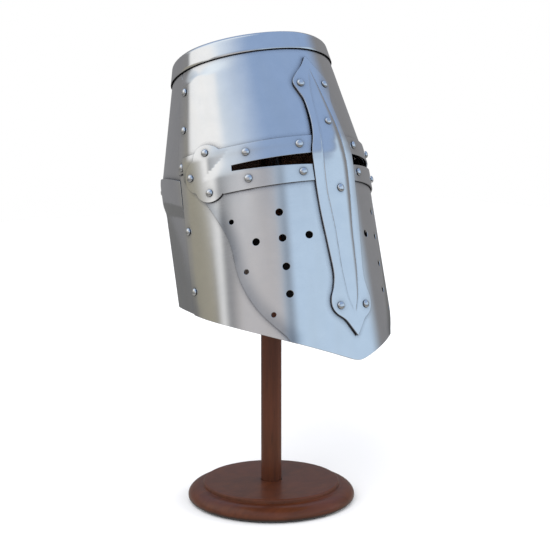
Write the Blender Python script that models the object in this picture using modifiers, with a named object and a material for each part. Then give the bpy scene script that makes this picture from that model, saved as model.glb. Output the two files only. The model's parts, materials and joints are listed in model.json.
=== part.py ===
"""Flat-topped steel great helm leaning back on a turned wooden display stand.

World frame: metres, +Z up, the floor at z = 0 and the post on the Z axis. The helm looks toward -Y and
its wearer's right hand is at -X. Helm frame: its origin is on the middle line at the height of the chin
tip, and its axis runs up to the crown. The steel plates are cut as flat patterns in (girth, height),
sliced, and bent round the skull. Girth is the distance along the level section: it starts at the face's
middle line and grows toward the wearer's left, or starts at the back's middle line and grows toward the
right. Each plate lies on a layer: a lapping plate rises one layer where it covers its neighbour.
"""

import math

import bmesh
import bpy
import numpy as np
from mathutils import Matrix, Vector

# How the helm leans on its stand.
LEAN_BACK = math.radians(17.0)
LEAN_SIDE = math.radians(2.65)
HELM_ORIGIN = Vector((-0.0153, -0.0628, 0.1511))

# The skull: half width, reach to the front and reach to the rear at three levels.
HELM_HEIGHT = 0.338
EYE_LEVEL = 0.218
CHIN_SECTION = (0.109, 0.104, 0.106)
EYE_SECTION = (0.100, 0.109, 0.131)
CROWN_SECTION = (0.080, 0.0795, 0.085)
FRONT_POWER = 1.09
REAR_POWER = 0.97

# Sheet steel. A layer is one sheet and the gap under the next one.
SHEET = 0.0015
GAP = 0.0003
LAYER = SHEET + 0.0006
SLICE_GIRTH = 0.016
LAP_SLICES = (0.1365, 0.1505)
PLATE_SLICES = (0.218, 0.255, 0.302, 0.316)
SLIT_SLICES = (0.198, 0.211, 0.218, 0.255)
REAR_SLICES = (0.160, 0.172, 0.186, 0.204, 0.218, 0.230)
LINER_SLICE = 0.020

# Lower rim: it climbs from the chin tip, then levels out toward the nape.
RIM_SLOPE = 0.41
RIM_NOSE = 0.006
RIM_BEND = 0.165
RIM_LEVEL = 0.280

# Plate edges.
PLATE_TOP = HELM_HEIGHT - 0.006
SEAM_GIRTH = 0.1725
SEAM_SLOPE = 0.35
SEAM_LAP = 0.018
LAP_START = 0.080
LAP_RUN = 0.056
REAR_LAP_START = 0.040
REAR_LAP_RUN = 0.015
LAP_TOP = 0.300
JOINT_HEIGHT = 0.209
REAR_STRIP = 0.136
SIDE_PLATE_END = 0.170
SIDE_PLATE_LAP = 0.005
REAR_NOTCH_GIRTH = 0.158
REAR_NOTCH_HEIGHT = 0.158
FACE_EDGE = ((0.1605, 0.200), (0.146, 0.188), (0.128, 0.162), (0.113, 0.129), (0.1075, 0.092),
             (0.093, 0.059), (0.066, 0.0265))
TAB_TOP = 0.224
TAB_INNER = 0.1365
TAB_STEP_START = 0.102
TAB_STEP = 0.032
SLIT_STEP_TOP = 0.2205
SLIT_STEP = 0.028
BAR_STEP_TOP = 0.262
BAR_STEP = 0.068
BOW_START = 0.016
BOW_END = 0.020
BOW_FADE = 0.035
BOW_LAYERS = 0.45

# Crown plate with its turned-down flange.
FLANGE_DEPTH = 0.020
CROWN_CORNER = 0.004
CROWN_DOME = 0.002
CROWN_CLEARANCE = 0.0009
CROWN_SEGMENTS = 40

# Eye slit and the two bands that frame it.
SLIT_INNER = 0.0245
SLIT_OUTER = 0.101
SLIT_TOP = (0.204, 0.2027)
SLIT_BOTTOM = (0.1927, 0.197)
SLIT_SETBACK = 0.0015
BAND_TOP = 0.2215
BAND_BOTTOM = 0.1765
TREFOIL_CENTRE = (0.126, 0.200)
LOBE_REACH = 0.0118
LOBE_RADIUS = 0.017

# Vertical bar on the face: (half width, height) down its side, and the raised field on it.
BAR_THICKNESS = 0.0022
BAR_SIDE = ((0.000, 0.308), (0.0075, 0.2975), (0.0145, 0.290), (0.0205, 0.2825), (0.0215, 0.277),
            (0.0185, 0.268), (0.0158, 0.259), (0.0158, 0.243), (0.0178, 0.226), (0.0225, 0.207),
            (0.0232, 0.190), (0.0222, 0.150), (0.0190, 0.112), (0.0170, 0.086), (0.0190, 0.072),
            (0.0225, 0.062), (0.0228, 0.053), (0.0190, 0.046), (0.0110, 0.0395), (0.0050, 0.031),
            (0.000, 0.0235))
BAR_FIELD = ((0.000, 0.296), (0.0060, 0.268), (0.0095, 0.237), (0.0138, 0.190), (0.0138, 0.165),
             (0.0104, 0.130), (0.0090, 0.087), (0.0061, 0.061), (0.000, 0.044))
BAR_FIELD_WIDTH = 0.0138
BAR_RIDGE = 0.0022

# Breaths: a cross of large holes and three small ones on each cheek.
BREATH_LINE = 0.0610
BREATH_ROWS = (0.1496, 0.1245, 0.0968, 0.0702)
BREATH_ARM = 0.0255
BREATH_RADIUS = 0.0036
SMALL_BREATHS = ((0.1085, 0.148), (0.0995, 0.0974), (0.0785, 0.0525))
SMALL_BREATH_RADIUS = 0.0025

# Rivets.
HEAD_RADIUS = 0.0037
HEAD_HEIGHT = 0.0025
SHANK_RADIUS = 0.0014
TAIL_RADIUS = 0.0025
TAIL_HEIGHT = 0.0011
RIVET_HOLE = 0.0022
LEATHER_HOLE = 0.0026
ANCHOR_HOLE = 0.0038
RIVET_GAP = 0.00032
BAND_RIVETS = ((0.0336, 0.2137), (0.0855, 0.2132), (0.0336, 0.1860), (0.0855, 0.1866),
               (0.1267, 0.2205), (0.1475, 0.2003), (0.1267, 0.1805))
BAR_RIVETS = ((-0.0143, 0.2776), (0.0143, 0.2776), (0.0, 0.2338), (0.0, 0.1675), (-0.0145, 0.0535),
              (0.0145, 0.0535))
SEAM_RIVETS = ((0.1370, 0.2937), (0.1505, 0.2537), (0.1650, 0.2160), (0.1645, 0.1504),
               (0.1645, 0.0896))
REAR_RIVETS = (0.270, 0.312)
REAR_RIVET_EDGE = 0.0105

# Leather liner: a band riveted inside the skull, and petals gathered by a lace.
LINER_LOW = 0.226
LINER_HIGH = 0.262
LINER_OUTER = -0.0036
LEATHER = 0.0024
LINER_JOIN = 0.003
PETAL_COUNT = 10
PETAL_SPAN = 0.985
PETAL_LOW = 0.249
PETAL_BEND = 0.264
PETAL_THICKNESS = 0.0016
PETAL_CLEARANCE = 0.001
PETAL_TIP = 0.310
PETAL_VALLEY = 0.270
LACE_RADIUS = 0.0010
LACE_WAVE = 0.0064
LACE_HEIGHT = 0.300
LACE_RING = 0.044
LACE_CENTRE_Y = -0.024

# Chin strap, hung on two rivets through the liner band.
STRAP_WIDTH = 0.018
STRAP_THICKNESS = 0.0022
STRAP_Y = -0.015
ANCHOR_X = 0.0845
ANCHOR_HEIGHT = 0.236
STRAP_BEND_X = 0.078
STRAP_BEND_HEIGHT = 0.150
STRAP_DROP = 0.062
BUCKLE_HEIGHT = 0.198
BUCKLE_REACH = 0.020
BUCKLE_WIDTH = 0.026
BUCKLE_WIRE = 0.0015
BUCKLE_INSET = 0.0032
BUCKLE_CORNER = 0.003
STRAP_TAIL = 0.012
STRAP_HOLE = 0.0022
FOLD_SLOT = (0.019, 0.0045)
CROSSING_SLOT = (0.0150, 0.0042)
KEEPER_DROP = 0.015
KEEPER_LENGTH = 0.006
KEEPER_WALL = 0.0015
KEEPER_PLAY = 0.0008
ANCHOR_HEAD = 0.0034
ANCHOR_SHANK = 0.0013
PRONG_WIRE = 0.001
PRONG_REACH = 0.0012
PRONG_CURL = (-55, -10, 40, 90, 140, 190, 235)

# Stand.
FELT_RADIUS = 0.084
FELT_THICKNESS = 0.0015
BASE_RADIUS = 0.090
BASE_TOP_RADIUS = 0.0734
BASE_TOP = 0.021
TOP_ROUND = 0.002
FOOT_ROUND = 0.004
OVOLO_CENTRE = (0.0765, 0.0058)
OVOLO_REACH = 0.0135
OVOLO_RISE = 0.0102
SOCKET_FLOOR = 0.0085
POST_RADIUS = 0.011
SCREW_RADIUS = 0.0022
SCREW_HEAD_RADIUS = 0.0045
SCREW_HEAD_DEPTH = 0.0032
SCREW_PLAY = 0.0004
SOCKET_PLAY = 0.0002
SCREW_TOP = 0.040
DOME_RADIUS = 0.045
HEAD_SIDE_RADIUS = 0.027
HEAD_DEPTH = 0.026
PAD_THICKNESS = 0.002
PAD_RADIUS = 0.024
SCREW_STEPS = 28
RIVET_STEPS = 8

STATIONS = np.linspace(0.0, math.pi, 241)
HELM_MATRIX = (Matrix.Translation(HELM_ORIGIN) @ Matrix.Rotation(-LEAN_BACK, 4, "X")
               @ Matrix.Rotation(LEAN_SIDE, 4, "Y"))


# --- scene helpers ---------------------------------------------------------------------------------


def clear_scene():
    for obj in list(bpy.data.objects):
        bpy.data.objects.remove(obj)


def new_collection(name):
    collection = bpy.data.collections.new(name)
    bpy.context.scene.collection.children.link(collection)
    return collection


def material(name, colour, metallic, roughness):
    made = bpy.data.materials.new(name)
    made.use_nodes = True
    shader = made.node_tree.nodes["Principled BSDF"]
    shader.inputs["Base Color"].default_value = (*colour, 1.0)
    shader.inputs["Metallic"].default_value = metallic
    shader.inputs["Roughness"].default_value = roughness
    made.diffuse_color = (*colour, 1.0)
    return made


def add_object(name, data, parent, surface):
    obj = bpy.data.objects.new(name, data)
    PARTS.objects.link(obj)
    obj.parent = parent
    data.materials.clear()
    data.materials.append(surface)
    return obj


def empty(name, matrix, parent=None):
    obj = bpy.data.objects.new(name, None)
    PARTS.objects.link(obj)
    obj.parent = parent
    obj.matrix_basis = matrix
    return obj


def flat_sheet(outline, holes, thickness):
    """A closed flat mesh: the filled outline with its holes, lying in XY and centred on z = 0."""
    curve = bpy.data.curves.new("pattern", "CURVE")
    curve.dimensions = "2D"
    curve.fill_mode = "BOTH"
    curve.extrude = thickness / 2
    for loop in [outline, *holes]:
        spline = curve.splines.new("POLY")
        spline.points.add(len(loop) - 1)
        for point, (x, y) in zip(spline.points, loop):
            point.co = (x, y, 0.0, 1.0)
        spline.use_cyclic_u = True
    helper = bpy.data.objects.new("pattern", curve)
    PARTS.objects.link(helper)
    mesh = bpy.data.meshes.new_from_object(helper)
    bpy.data.objects.remove(helper)
    work = bmesh.new()
    work.from_mesh(mesh)
    bmesh.ops.remove_doubles(work, verts=work.verts, dist=1e-6)
    bmesh.ops.dissolve_limit(work, angle_limit=1e-3, use_dissolve_boundaries=False, verts=work.verts,
                             edges=work.edges)
    bmesh.ops.recalc_face_normals(work, faces=work.faces)
    work.to_mesh(mesh)
    work.free()
    return mesh


def slice_mesh(mesh, across, up=()):
    """Cuts the mesh at these places along X and along Y, so that it can follow a bend."""
    work = bmesh.new()
    work.from_mesh(mesh)
    for normal, places in ((Vector((1, 0, 0)), across), (Vector((0, 1, 0)), up)):
        for place in places:
            geometry = [*work.verts, *work.edges, *work.faces]
            bmesh.ops.bisect_plane(work, geom=geometry, dist=1e-6, plane_co=normal * place,
                                   plane_no=normal)
    bmesh.ops.remove_doubles(work, verts=work.verts, dist=2e-6)
    bmesh.ops.triangulate(work, faces=work.faces)
    work.to_mesh(mesh)
    work.free()


def every(pitch, low, high):
    return [step * pitch for step in range(math.ceil(low / pitch), math.floor(high / pitch) + 1)]


def map_mesh(mesh, place):
    """Moves each vertex to place(points), for an array of the mesh's own coordinates."""
    points = np.empty(len(mesh.vertices) * 3)
    mesh.vertices.foreach_get("co", points)
    mesh.vertices.foreach_set("co", place(points.reshape(-1, 3)).ravel())
    mesh.update()


def circle(centre, radius, count):
    angles = [2 * math.pi * (step + 0.3) / count for step in range(count)]
    return [(centre[0] + radius * math.cos(a), centre[1] + radius * math.sin(a)) for a in angles]


def smooth_line(points, count):
    """A Catmull-Rom curve through the points, with count steps between neighbours."""
    ends = [2 * np.array(points[0]) - points[1], *np.array(points), 2 * np.array(points[-1]) - points[-2]]
    line = []
    for before, start, stop, after in zip(ends, ends[1:], ends[2:], ends[3:]):
        for t in np.arange(count) / count:
            line.append(0.5 * (2 * start + (stop - before) * t
                               + (2 * before - 5 * start + 4 * stop - after) * t**2
                               + (3 * start - before - 3 * stop + after) * t**3))
    return [tuple(map(float, point)) for point in [*line, ends[-2]]]


def mirrored(half):
    """Closes an outline given for one side of the middle line, from its top to its bottom."""
    return [*half, *[(-x, y) for x, y in reversed(half) if x > 1e-6]]


def other_side(outline):
    return [(-x, y) for x, y in reversed(outline)]


def smooth_step(value):
    value = np.clip(value, 0.0, 1.0)
    return value * value * (3 - 2 * value)


def inside(outline, point):
    """Whether the point lies inside the closed outline."""
    crossings = 0
    for (x0, y0), (x1, y1) in zip(outline, outline[1:] + outline[:1]):
        if (y0 > point[1]) != (y1 > point[1]):
            crossings += point[0] < x0 + (point[1] - y0) * (x1 - x0) / (y1 - y0)
    return crossings % 2 == 1


def turned(name, profile, parent, surface, steps=SCREW_STEPS, closed=False):
    """A turned solid: the profile in (radius, height) swept once round Z."""
    mesh = bpy.data.meshes.new(name)
    edges = [(i, i + 1) for i in range(len(profile) - 1)]
    if closed:
        edges.append((len(profile) - 1, 0))
    mesh.from_pydata([(radius, 0.0, height) for radius, height in profile], edges, [])
    obj = add_object(name, mesh, parent, surface)
    sweep = obj.modifiers.new("turn", "SCREW")
    sweep.steps = steps
    sweep.render_steps = steps
    sweep.use_merge_vertices = True
    sweep.merge_threshold = 1e-5
    return obj


# --- skull surface ---------------------------------------------------------------------------------


def section_at(height):
    """Half width, front reach and rear reach of the skull at each height."""
    levels = (0.0, EYE_LEVEL, HELM_HEIGHT)
    sizes = zip(CHIN_SECTION, EYE_SECTION, CROWN_SECTION)
    return [np.interp(height, levels, size) for size in sizes]


def skull_point(angle, height):
    """Points on the skull: angle 0 is the face's middle line and pi the back's."""
    half_width, front, rear = section_at(height)
    sine, cosine = np.abs(np.sin(angle)), np.cos(angle)
    power = np.where(cosine >= 0, FRONT_POWER, REAR_POWER)
    x = np.sign(np.sin(angle)) * half_width * sine**power
    y = np.where(cosine >= 0, -front, rear) * np.abs(cosine) ** power
    return np.stack([x, y, height + 0 * x], -1)


def skull_girths(height):
    """Girth at each station angle, for one height."""
    line = skull_point(STATIONS, np.full(len(STATIONS), height))
    return np.concatenate([[0.0], np.cumsum(np.linalg.norm(np.diff(line, axis=0), axis=1))])


def half_girth(height):
    return float(skull_girths(height)[-1])


def skull_normal(angle, height):
    step = 1e-4
    along = skull_point(angle + step, height) - skull_point(angle - step, height)
    up = skull_point(angle, height + step) - skull_point(angle, height - step)
    normal = np.cross(along, up)
    return normal / np.linalg.norm(normal, axis=1)[:, None]


def bend_round_skull(pattern, rise, from_rear):
    """Maps (girth, height, depth) to the helm frame; rise gives the extra depth at (girth, height)."""
    girth, height, depth = pattern.T
    angles = []
    for distance, level in zip(girth, height):
        table = skull_girths(level)
        if from_rear:
            angles.append(math.pi + np.interp(abs(distance), table[-1] - table[::-1],
                                              math.pi - STATIONS[::-1]) * np.sign(distance))
        else:
            angles.append(np.interp(abs(distance), table, STATIONS) * np.sign(distance))
    angles = np.array(angles)
    face_girth = np.array([half_girth(level) for level in height]) - np.abs(girth) if from_rear else girth
    depth = depth + rise(np.abs(face_girth), height)
    return skull_point(angles, height) + skull_normal(angles, height) * depth[:, None]


# --- plate edges and layers ------------------------------------------------------------------------


def rim(girth):
    """Height of the lower rim."""
    start = RIM_SLOPE * (np.hypot(np.minimum(girth, RIM_BEND), RIM_NOSE) - RIM_NOSE)
    past = np.clip(girth - RIM_BEND, 0.0, RIM_LEVEL - RIM_BEND)
    return start + RIM_SLOPE * (past - past**2 / (2 * (RIM_LEVEL - RIM_BEND)))


def rear_edge(girth):
    """Height of the lower rear plate's upper edge."""
    return rim(girth) + REAR_STRIP


def seam(height):
    """Girth of the upper front plate's rear edge."""
    return SEAM_GIRTH - SEAM_SLOPE * np.maximum(height - EYE_LEVEL, 0.0)


def seam_lap(girth, height):
    """0 in front of the side seam's overlap, 1 on it."""
    return smooth_step((girth - seam(height) + LAP_START) / LAP_RUN)


def no_lap(girth, height):
    return 0.0 * girth


def front_lap(girth, height):
    fade = smooth_step((LAP_TOP + 0.014 - height) / 0.012)
    return seam_lap(girth, height) * fade


def face_lap(girth, height):
    return 1 + seam_lap(girth, height)


def below_slit(height):
    return smooth_step((SLIT_STEP_TOP - height) / SLIT_STEP)


def band_lap(girth, height):
    trefoil = smooth_step((girth - TAB_STEP_START) / TAB_STEP)
    return 1 + np.maximum(below_slit(height), trefoil) + seam_lap(girth, height)


def bar_lap(girth, height):
    """Climbs on to the bands more gently than they do, bowing clear of the crease at the eyes."""
    from_crease = np.abs(height - EYE_LEVEL)
    bow = smooth_step(from_crease / BOW_START) * (1 - smooth_step((from_crease - BOW_END) / BOW_FADE))
    return 1 + smooth_step((BAR_STEP_TOP - height) / BAR_STEP) + BOW_LAYERS * bow


def rear_lap(girth, height):
    return smooth_step((height - rear_edge(girth) + REAR_LAP_START) / REAR_LAP_RUN)


# --- plate outlines, each in (girth, height) ---------------------------------------------------------


def slit_edge(ends, girth):
    return float(np.interp(girth, (SLIT_INNER, SLIT_OUTER), ends))


def rim_line(start, stop, count):
    return [(girth, float(rim(girth))) for girth in np.linspace(start, stop, count)]


def to_rear(points):
    """Turns points on the wearer's right, given by girth from the face, to girth from the back."""
    return [(half_girth(height) - girth, height) for girth, height in points]


def rear_line(edge, start, count):
    """An edge from a girth to the back's middle line, by girth from the back."""
    stop = RIM_LEVEL
    for _ in range(4):
        stop = half_girth(float(edge(stop)))
    line = to_rear([(girth, float(edge(girth))) for girth in np.linspace(start, stop, count)])
    return [*line[:-1], (0.0, line[-1][1])]


def upper_front_outline():
    slit = SLIT_TOP[0] + SLIT_SETBACK
    return mirrored([(0.0, PLATE_TOP), (float(seam(PLATE_TOP)), PLATE_TOP), (SEAM_GIRTH, EYE_LEVEL),
                     (SEAM_GIRTH, JOINT_HEIGHT + 0.001), (0.106, JOINT_HEIGHT + 0.001),
                     (0.104, slit), (0.0, slit)])


def upper_rear_outline():
    behind = [(float(seam(height)) + 0.001, height) for height in (PLATE_TOP, 0.318, LAP_TOP)]
    front = [(float(seam(height)) - SEAM_LAP, height) for height in (LAP_TOP, 0.28, 0.25, EYE_LEVEL)]
    low = rear_line(lambda girth: rear_edge(girth) - SEAM_LAP, SEAM_GIRTH - SEAM_LAP, 12)
    return mirrored([(0.0, PLATE_TOP), *to_rear(behind + front), *low])


def lower_rear_outline():
    high = rear_line(rear_edge, SIDE_PLATE_END + 0.0015, 12)
    notch = to_rear([(SIDE_PLATE_END + 0.0015, REAR_NOTCH_HEIGHT), (REAR_NOTCH_GIRTH, REAR_NOTCH_HEIGHT)])
    return mirrored([*reversed(high), *notch, *rear_line(rim, REAR_NOTCH_GIRTH, 12)])


def face_edge():
    return smooth_line(FACE_EDGE, 3)


def side_outline():
    """The wearer's left side plate."""
    hidden = [(girth - SIDE_PLATE_LAP, height) for girth, height in face_edge()]
    hidden = [(girth, height) for girth, height in hidden if height > rim(girth) + 0.002]
    start = [(hidden[0][0], JOINT_HEIGHT - 0.001)]
    end = [(SIDE_PLATE_END, JOINT_HEIGHT - 0.001)]
    return start + hidden + rim_line(hidden[-1][0] - 0.001, SIDE_PLATE_END, 9) + end


def face_outline():
    low = slit_edge(SLIT_BOTTOM, SLIT_INNER) - SLIT_SETBACK
    high = slit_edge(SLIT_BOTTOM, SLIT_OUTER) - SLIT_SETBACK
    tab = [(0.104, high), (TAB_INNER, high), (TAB_INNER, TAB_TOP), (FACE_EDGE[0][0], TAB_TOP)]
    edge = face_edge()
    return mirrored([(0.0, low), (SLIT_INNER, low), *tab, *edge[:-1], *rim_line(edge[-1][0], 0.0, 8)])


def trefoil_arc(direction, start, stop):
    """Part of one lobe's outline, between two directions in degrees."""
    reach = math.radians(direction)
    centre = (TREFOIL_CENTRE[0] + LOBE_REACH * math.cos(reach),
              TREFOIL_CENTRE[1] + LOBE_REACH * math.sin(reach))
    angles = np.radians(np.linspace(start, stop, 7))
    return [(centre[0] + LOBE_RADIUS * math.cos(a), centre[1] + LOBE_RADIUS * math.sin(a))
            for a in angles]


def band_outline():
    """The wearer's left band, with a trefoil at its outer end."""
    meet = math.degrees(math.asin((BAND_TOP - TREFOIL_CENTRE[1] - LOBE_REACH) / LOBE_RADIUS))
    lobes = [*trefoil_arc(90, 180 - meet, 19), *trefoil_arc(0, 71, -71), *trefoil_arc(-90, -19, meet - 180)]
    return [(SLIT_INNER, BAND_BOTTOM), (SLIT_INNER, BAND_TOP), *lobes[:-1], (lobes[-1][0], BAND_BOTTOM)]


def band_slit():
    inner = SLIT_INNER + 0.0005
    return [(inner, SLIT_BOTTOM[0]), (SLIT_OUTER, SLIT_BOTTOM[1]), (SLIT_OUTER, SLIT_TOP[1]),
            (inner, SLIT_TOP[0])]


def bar_outline():
    return mirrored(list(BAR_SIDE))


def bar_ridge(girth, height):
    """Height of the raised field above the bar."""
    widths, heights = zip(*reversed(BAR_FIELD))
    half = np.interp(height, heights, widths)
    crown = np.clip(1 - (girth / np.maximum(half, 1e-4)) ** 2, 0.0, 1.0)
    return BAR_RIDGE * crown * np.minimum(half / BAR_FIELD_WIDTH, 1.0)


def anchor_holes():
    """Holes in the liner band for the two strap rivets, which run along X."""
    front = float(section_at(ANCHOR_HEIGHT)[1])
    angle = math.acos((-STRAP_Y / front) ** (1 / FRONT_POWER))
    girth = float(np.interp(angle, STATIONS, skull_girths(ANCHOR_HEIGHT)))
    return [circle((side * girth, ANCHOR_HEIGHT), ANCHOR_HOLE, 8) for side in (-1, 1)]


def liner_outline():
    heights = np.linspace(LINER_LOW, LINER_HIGH, 4)
    right = [(half_girth(height) - LINER_JOIN, float(height)) for height in heights]
    return right + [(-girth, height) for girth, height in reversed(right)]


def breaths():
    rows = [(BREATH_LINE, height) for height in BREATH_ROWS]
    arms = [(BREATH_LINE + side * BREATH_ARM, BREATH_ROWS[1]) for side in (-1, 1)]
    holes = []
    for side in (-1, 1):
        holes += [circle((side * girth, height), BREATH_RADIUS, 8) for girth, height in rows + arms]
        holes += [circle((side * girth, height), SMALL_BREATH_RADIUS, 6)
                  for girth, height in SMALL_BREATHS]
    return holes


# --- rivets ------------------------------------------------------------------------------------------


def rivet_places():
    """Name and (girth from the face, height) of every rivet through the plates."""
    places = {}
    for side, sign in (("left", 1), ("right", -1)):
        for number, (girth, height) in enumerate(BAND_RIVETS, 1):
            places[f"rivet_band_{side}_{number}"] = (sign * girth, height)
        for number, (girth, height) in enumerate(SEAM_RIVETS, 1):
            places[f"rivet_seam_{side}_{number}"] = (sign * girth, height)
        for number, girth in enumerate(REAR_RIVETS, 1):
            height = float(rear_edge(girth)) - REAR_RIVET_EDGE
            places[f"rivet_rear_{side}_{number}"] = (sign * girth, height)
    for number, place in enumerate(BAR_RIVETS, 1):
        places[f"rivet_bar_{number}"] = place
    return places


def on_pattern(place, from_rear):
    """The rivet's place in a pattern's own girth."""
    girth, height = place
    if not from_rear:
        return place
    return (-math.copysign(half_girth(height) - abs(girth), girth), height)


def make_rivet(name, place, helm, surface):
    """A rivet through every sheet at this place: round head outside, flat tail inside."""
    girth, height = place
    inner, outer = [], []
    for sheet in SHEETS.values():
        if inside(sheet["outline"], on_pattern(place, sheet["from_rear"])):
            base = float(sheet["rise"](np.array([abs(girth)]), np.array([height]))[0])
            inner.append(base)
            outer.append(base + sheet["thickness"] + float(sheet["ridge"](abs(girth), height)))
    low, high = min(inner) - RIVET_GAP, max(outer) + RIVET_GAP
    profile = [(0.0, high + HEAD_HEIGHT), (HEAD_RADIUS * 0.7, high + HEAD_HEIGHT * 0.7),
               (HEAD_RADIUS, high), (SHANK_RADIUS, high), (SHANK_RADIUS, low),
               (TAIL_RADIUS, low), (TAIL_RADIUS * 0.8, low - TAIL_HEIGHT), (0.0, low - TAIL_HEIGHT)]
    point = bend_round_skull(np.array([[girth, height, 0.0]]), no_lap, False)[0]
    ahead = bend_round_skull(np.array([[girth, height, 1.0]]), no_lap, False)[0]
    rivet = turned(name, profile, helm, surface, steps=RIVET_STEPS)
    rivet.matrix_basis = (Matrix.Translation(point)
                          @ Vector(ahead - point).to_track_quat("Z", "Y").to_matrix().to_4x4())
    return rivet


# --- sheets: outline, holes, layer -------------------------------------------------------------------


def no_ridge(girth, height):
    return 0.0 * girth


def sheet(outline, lap, holes=(), from_rear=False, thickness=SHEET, ridge=no_ridge, base=-SHEET,
          slices=PLATE_SLICES, pitch=SLICE_GIRTH):
    """A pattern; rise gives the depth of its inner face, which is base below its layer."""
    return {"outline": outline, "holes": list(holes), "from_rear": from_rear, "thickness": thickness,
            "ridge": ridge, "slices": slices, "pitch": pitch,
            "rise": lambda girth, height: base + LAYER * lap(girth, height)}


def make_sheet(name, helm, surface, places):
    cut = SHEETS[name]
    outline, from_rear = cut["outline"], cut["from_rear"]
    spots = [on_pattern(place, from_rear) for place in places.values()]
    bore = LEATHER_HOLE if name == "liner_band" else RIVET_HOLE
    holes = cut["holes"] + [circle(spot, bore, 6) for spot in spots if inside(outline, spot)]
    mesh = flat_sheet(outline, holes, cut["thickness"])
    reach = max(abs(girth) for girth, height in outline)
    laps = [] if from_rear else [side * girth for girth in LAP_SLICES for side in (-1, 1)]
    slice_mesh(mesh, every(cut["pitch"], -reach, reach) + laps, cut["slices"])

    def place(points):
        depth = points[:, 2] + cut["thickness"] / 2
        top = depth > cut["thickness"] / 2
        depth = depth + top * cut["ridge"](np.abs(points[:, 0]), points[:, 1])
        pattern = np.column_stack([points[:, :2], depth])
        return bend_round_skull(pattern, cut["rise"], from_rear)

    map_mesh(mesh, place)
    return add_object(name, mesh, helm, surface)


def make_crown(helm, surface):
    """The flat top with its flange: level rings of the skull section, lofted and thickened inward."""
    outer = CROWN_CLEARANCE + SHEET
    rings = [(HELM_HEIGHT - FLANGE_DEPTH, outer), (HELM_HEIGHT - CROWN_CORNER, outer)]
    for turn in (45, 90):
        angle = math.radians(turn)
        rings.append((HELM_HEIGHT - CROWN_CORNER * (1 - math.sin(angle)),
                      outer - CROWN_CORNER * (1 - math.cos(angle))))
    angles = np.linspace(0, 2 * math.pi, CROWN_SEGMENTS, endpoint=False)
    work = bmesh.new()
    loops = []
    for height, offset in rings:
        level = np.full(CROWN_SEGMENTS, min(height, HELM_HEIGHT - 1e-3))
        points = skull_point(angles, level)
        points += skull_normal(angles, level) * [[1, 1, 0]] * offset
        points[:, 2] = height
        loops.append([work.verts.new(point) for point in points])
    for share in (0.75, 0.4):
        height = HELM_HEIGHT + CROWN_DOME * (1 - share**2)
        loops.append([work.verts.new((vertex.co.x * share, vertex.co.y * share, height))
                      for vertex in loops[3]])
    for low, high in zip(loops, loops[1:]):
        for step in range(CROWN_SEGMENTS):
            after = (step + 1) % CROWN_SEGMENTS
            work.faces.new((low[step], low[after], high[after], high[step]))
    work.faces.new(loops[-1])
    bmesh.ops.recalc_face_normals(work, faces=work.faces)
    mesh = bpy.data.meshes.new("crown_plate")
    work.to_mesh(mesh)
    work.free()
    crown = add_object("crown_plate", mesh, helm, surface)
    wall = crown.modifiers.new("sheet", "SOLIDIFY")
    wall.thickness = SHEET
    wall.offset = -1
    return crown


# --- liner -------------------------------------------------------------------------------------------


def petal_outline():
    """Petal strip in (share of the girth from -1 to 1, height along the leather)."""
    points = [(-PETAL_SPAN, PETAL_LOW), (PETAL_SPAN, PETAL_LOW)]
    pitch = 2 * PETAL_SPAN / PETAL_COUNT
    for number in range(PETAL_COUNT):
        right = PETAL_SPAN - number * pitch
        middle = right - pitch / 2
        for shift, height in ((0.38, PETAL_VALLEY), (0.14, PETAL_TIP - 0.006), (0.07, PETAL_TIP),
                              (-0.07, PETAL_TIP), (-0.14, PETAL_TIP - 0.006), (-0.38, PETAL_VALLEY)):
            points.append((middle + shift * pitch, height))
    return points


def bend_petals(points):
    """Carries the strip up the liner band's inner face, then leans it in to the lace ring."""
    share, height, depth = points.T
    angles = share * math.pi
    low = np.minimum(height, PETAL_BEND)
    inset = LINER_OUTER - LEATHER - PETAL_CLEARANCE - PETAL_THICKNESS / 2 + depth
    wall = skull_point(angles, low) + skull_normal(angles, low) * inset[:, None]
    ring = np.stack([(LACE_RING + depth) * np.sin(angles),
                     LACE_CENTRE_Y - (LACE_RING + depth) * np.cos(angles),
                     LACE_HEIGHT + depth], -1)
    lean = (np.maximum(height - PETAL_BEND, 0) / (LACE_HEIGHT - PETAL_BEND))[:, None]
    return wall * (1 - lean) + ring * lean


def make_liner(helm, leather, cord, places):
    make_sheet("liner_band", helm, leather, places)
    mesh = flat_sheet([(girth * 0.3, height) for girth, height in petal_outline()], [], PETAL_THICKNESS)
    slice_mesh(mesh, every(LINER_SLICE, -0.3, 0.3), (PETAL_BEND, (PETAL_BEND + LACE_HEIGHT) / 2))
    map_mesh(mesh, lambda points: bend_petals(points / [[0.3, 1.0, 1.0]]))
    add_object("liner_petals", mesh, helm, leather)
    count = 6 * PETAL_COUNT
    lace = []
    for angle in np.linspace(-math.pi, math.pi, count, endpoint=False):
        wave = PETAL_COUNT / 2 * angle / PETAL_SPAN - math.pi / 2
        radius = LACE_RING + LACE_WAVE * math.cos(wave)
        lace.append((radius * math.sin(angle), LACE_CENTRE_Y - radius * math.cos(angle), LACE_HEIGHT))
    add_wire("liner_lace", lace, LACE_RADIUS, helm, cord, cyclic=True)


def add_wire(name, points, radius, parent, surface, cyclic=False):
    curve = bpy.data.curves.new(name, "CURVE")
    curve.dimensions = "3D"
    curve.bevel_depth = radius
    curve.bevel_resolution = 1
    curve.use_fill_caps = not cyclic
    spline = curve.splines.new("POLY")
    spline.points.add(len(points) - 1)
    for point, place in zip(spline.points, points):
        point.co = (*place, 1.0)
    spline.use_cyclic_u = cyclic
    return add_object(name, curve, parent, surface)


# --- chin strap --------------------------------------------------------------------------------------


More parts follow.
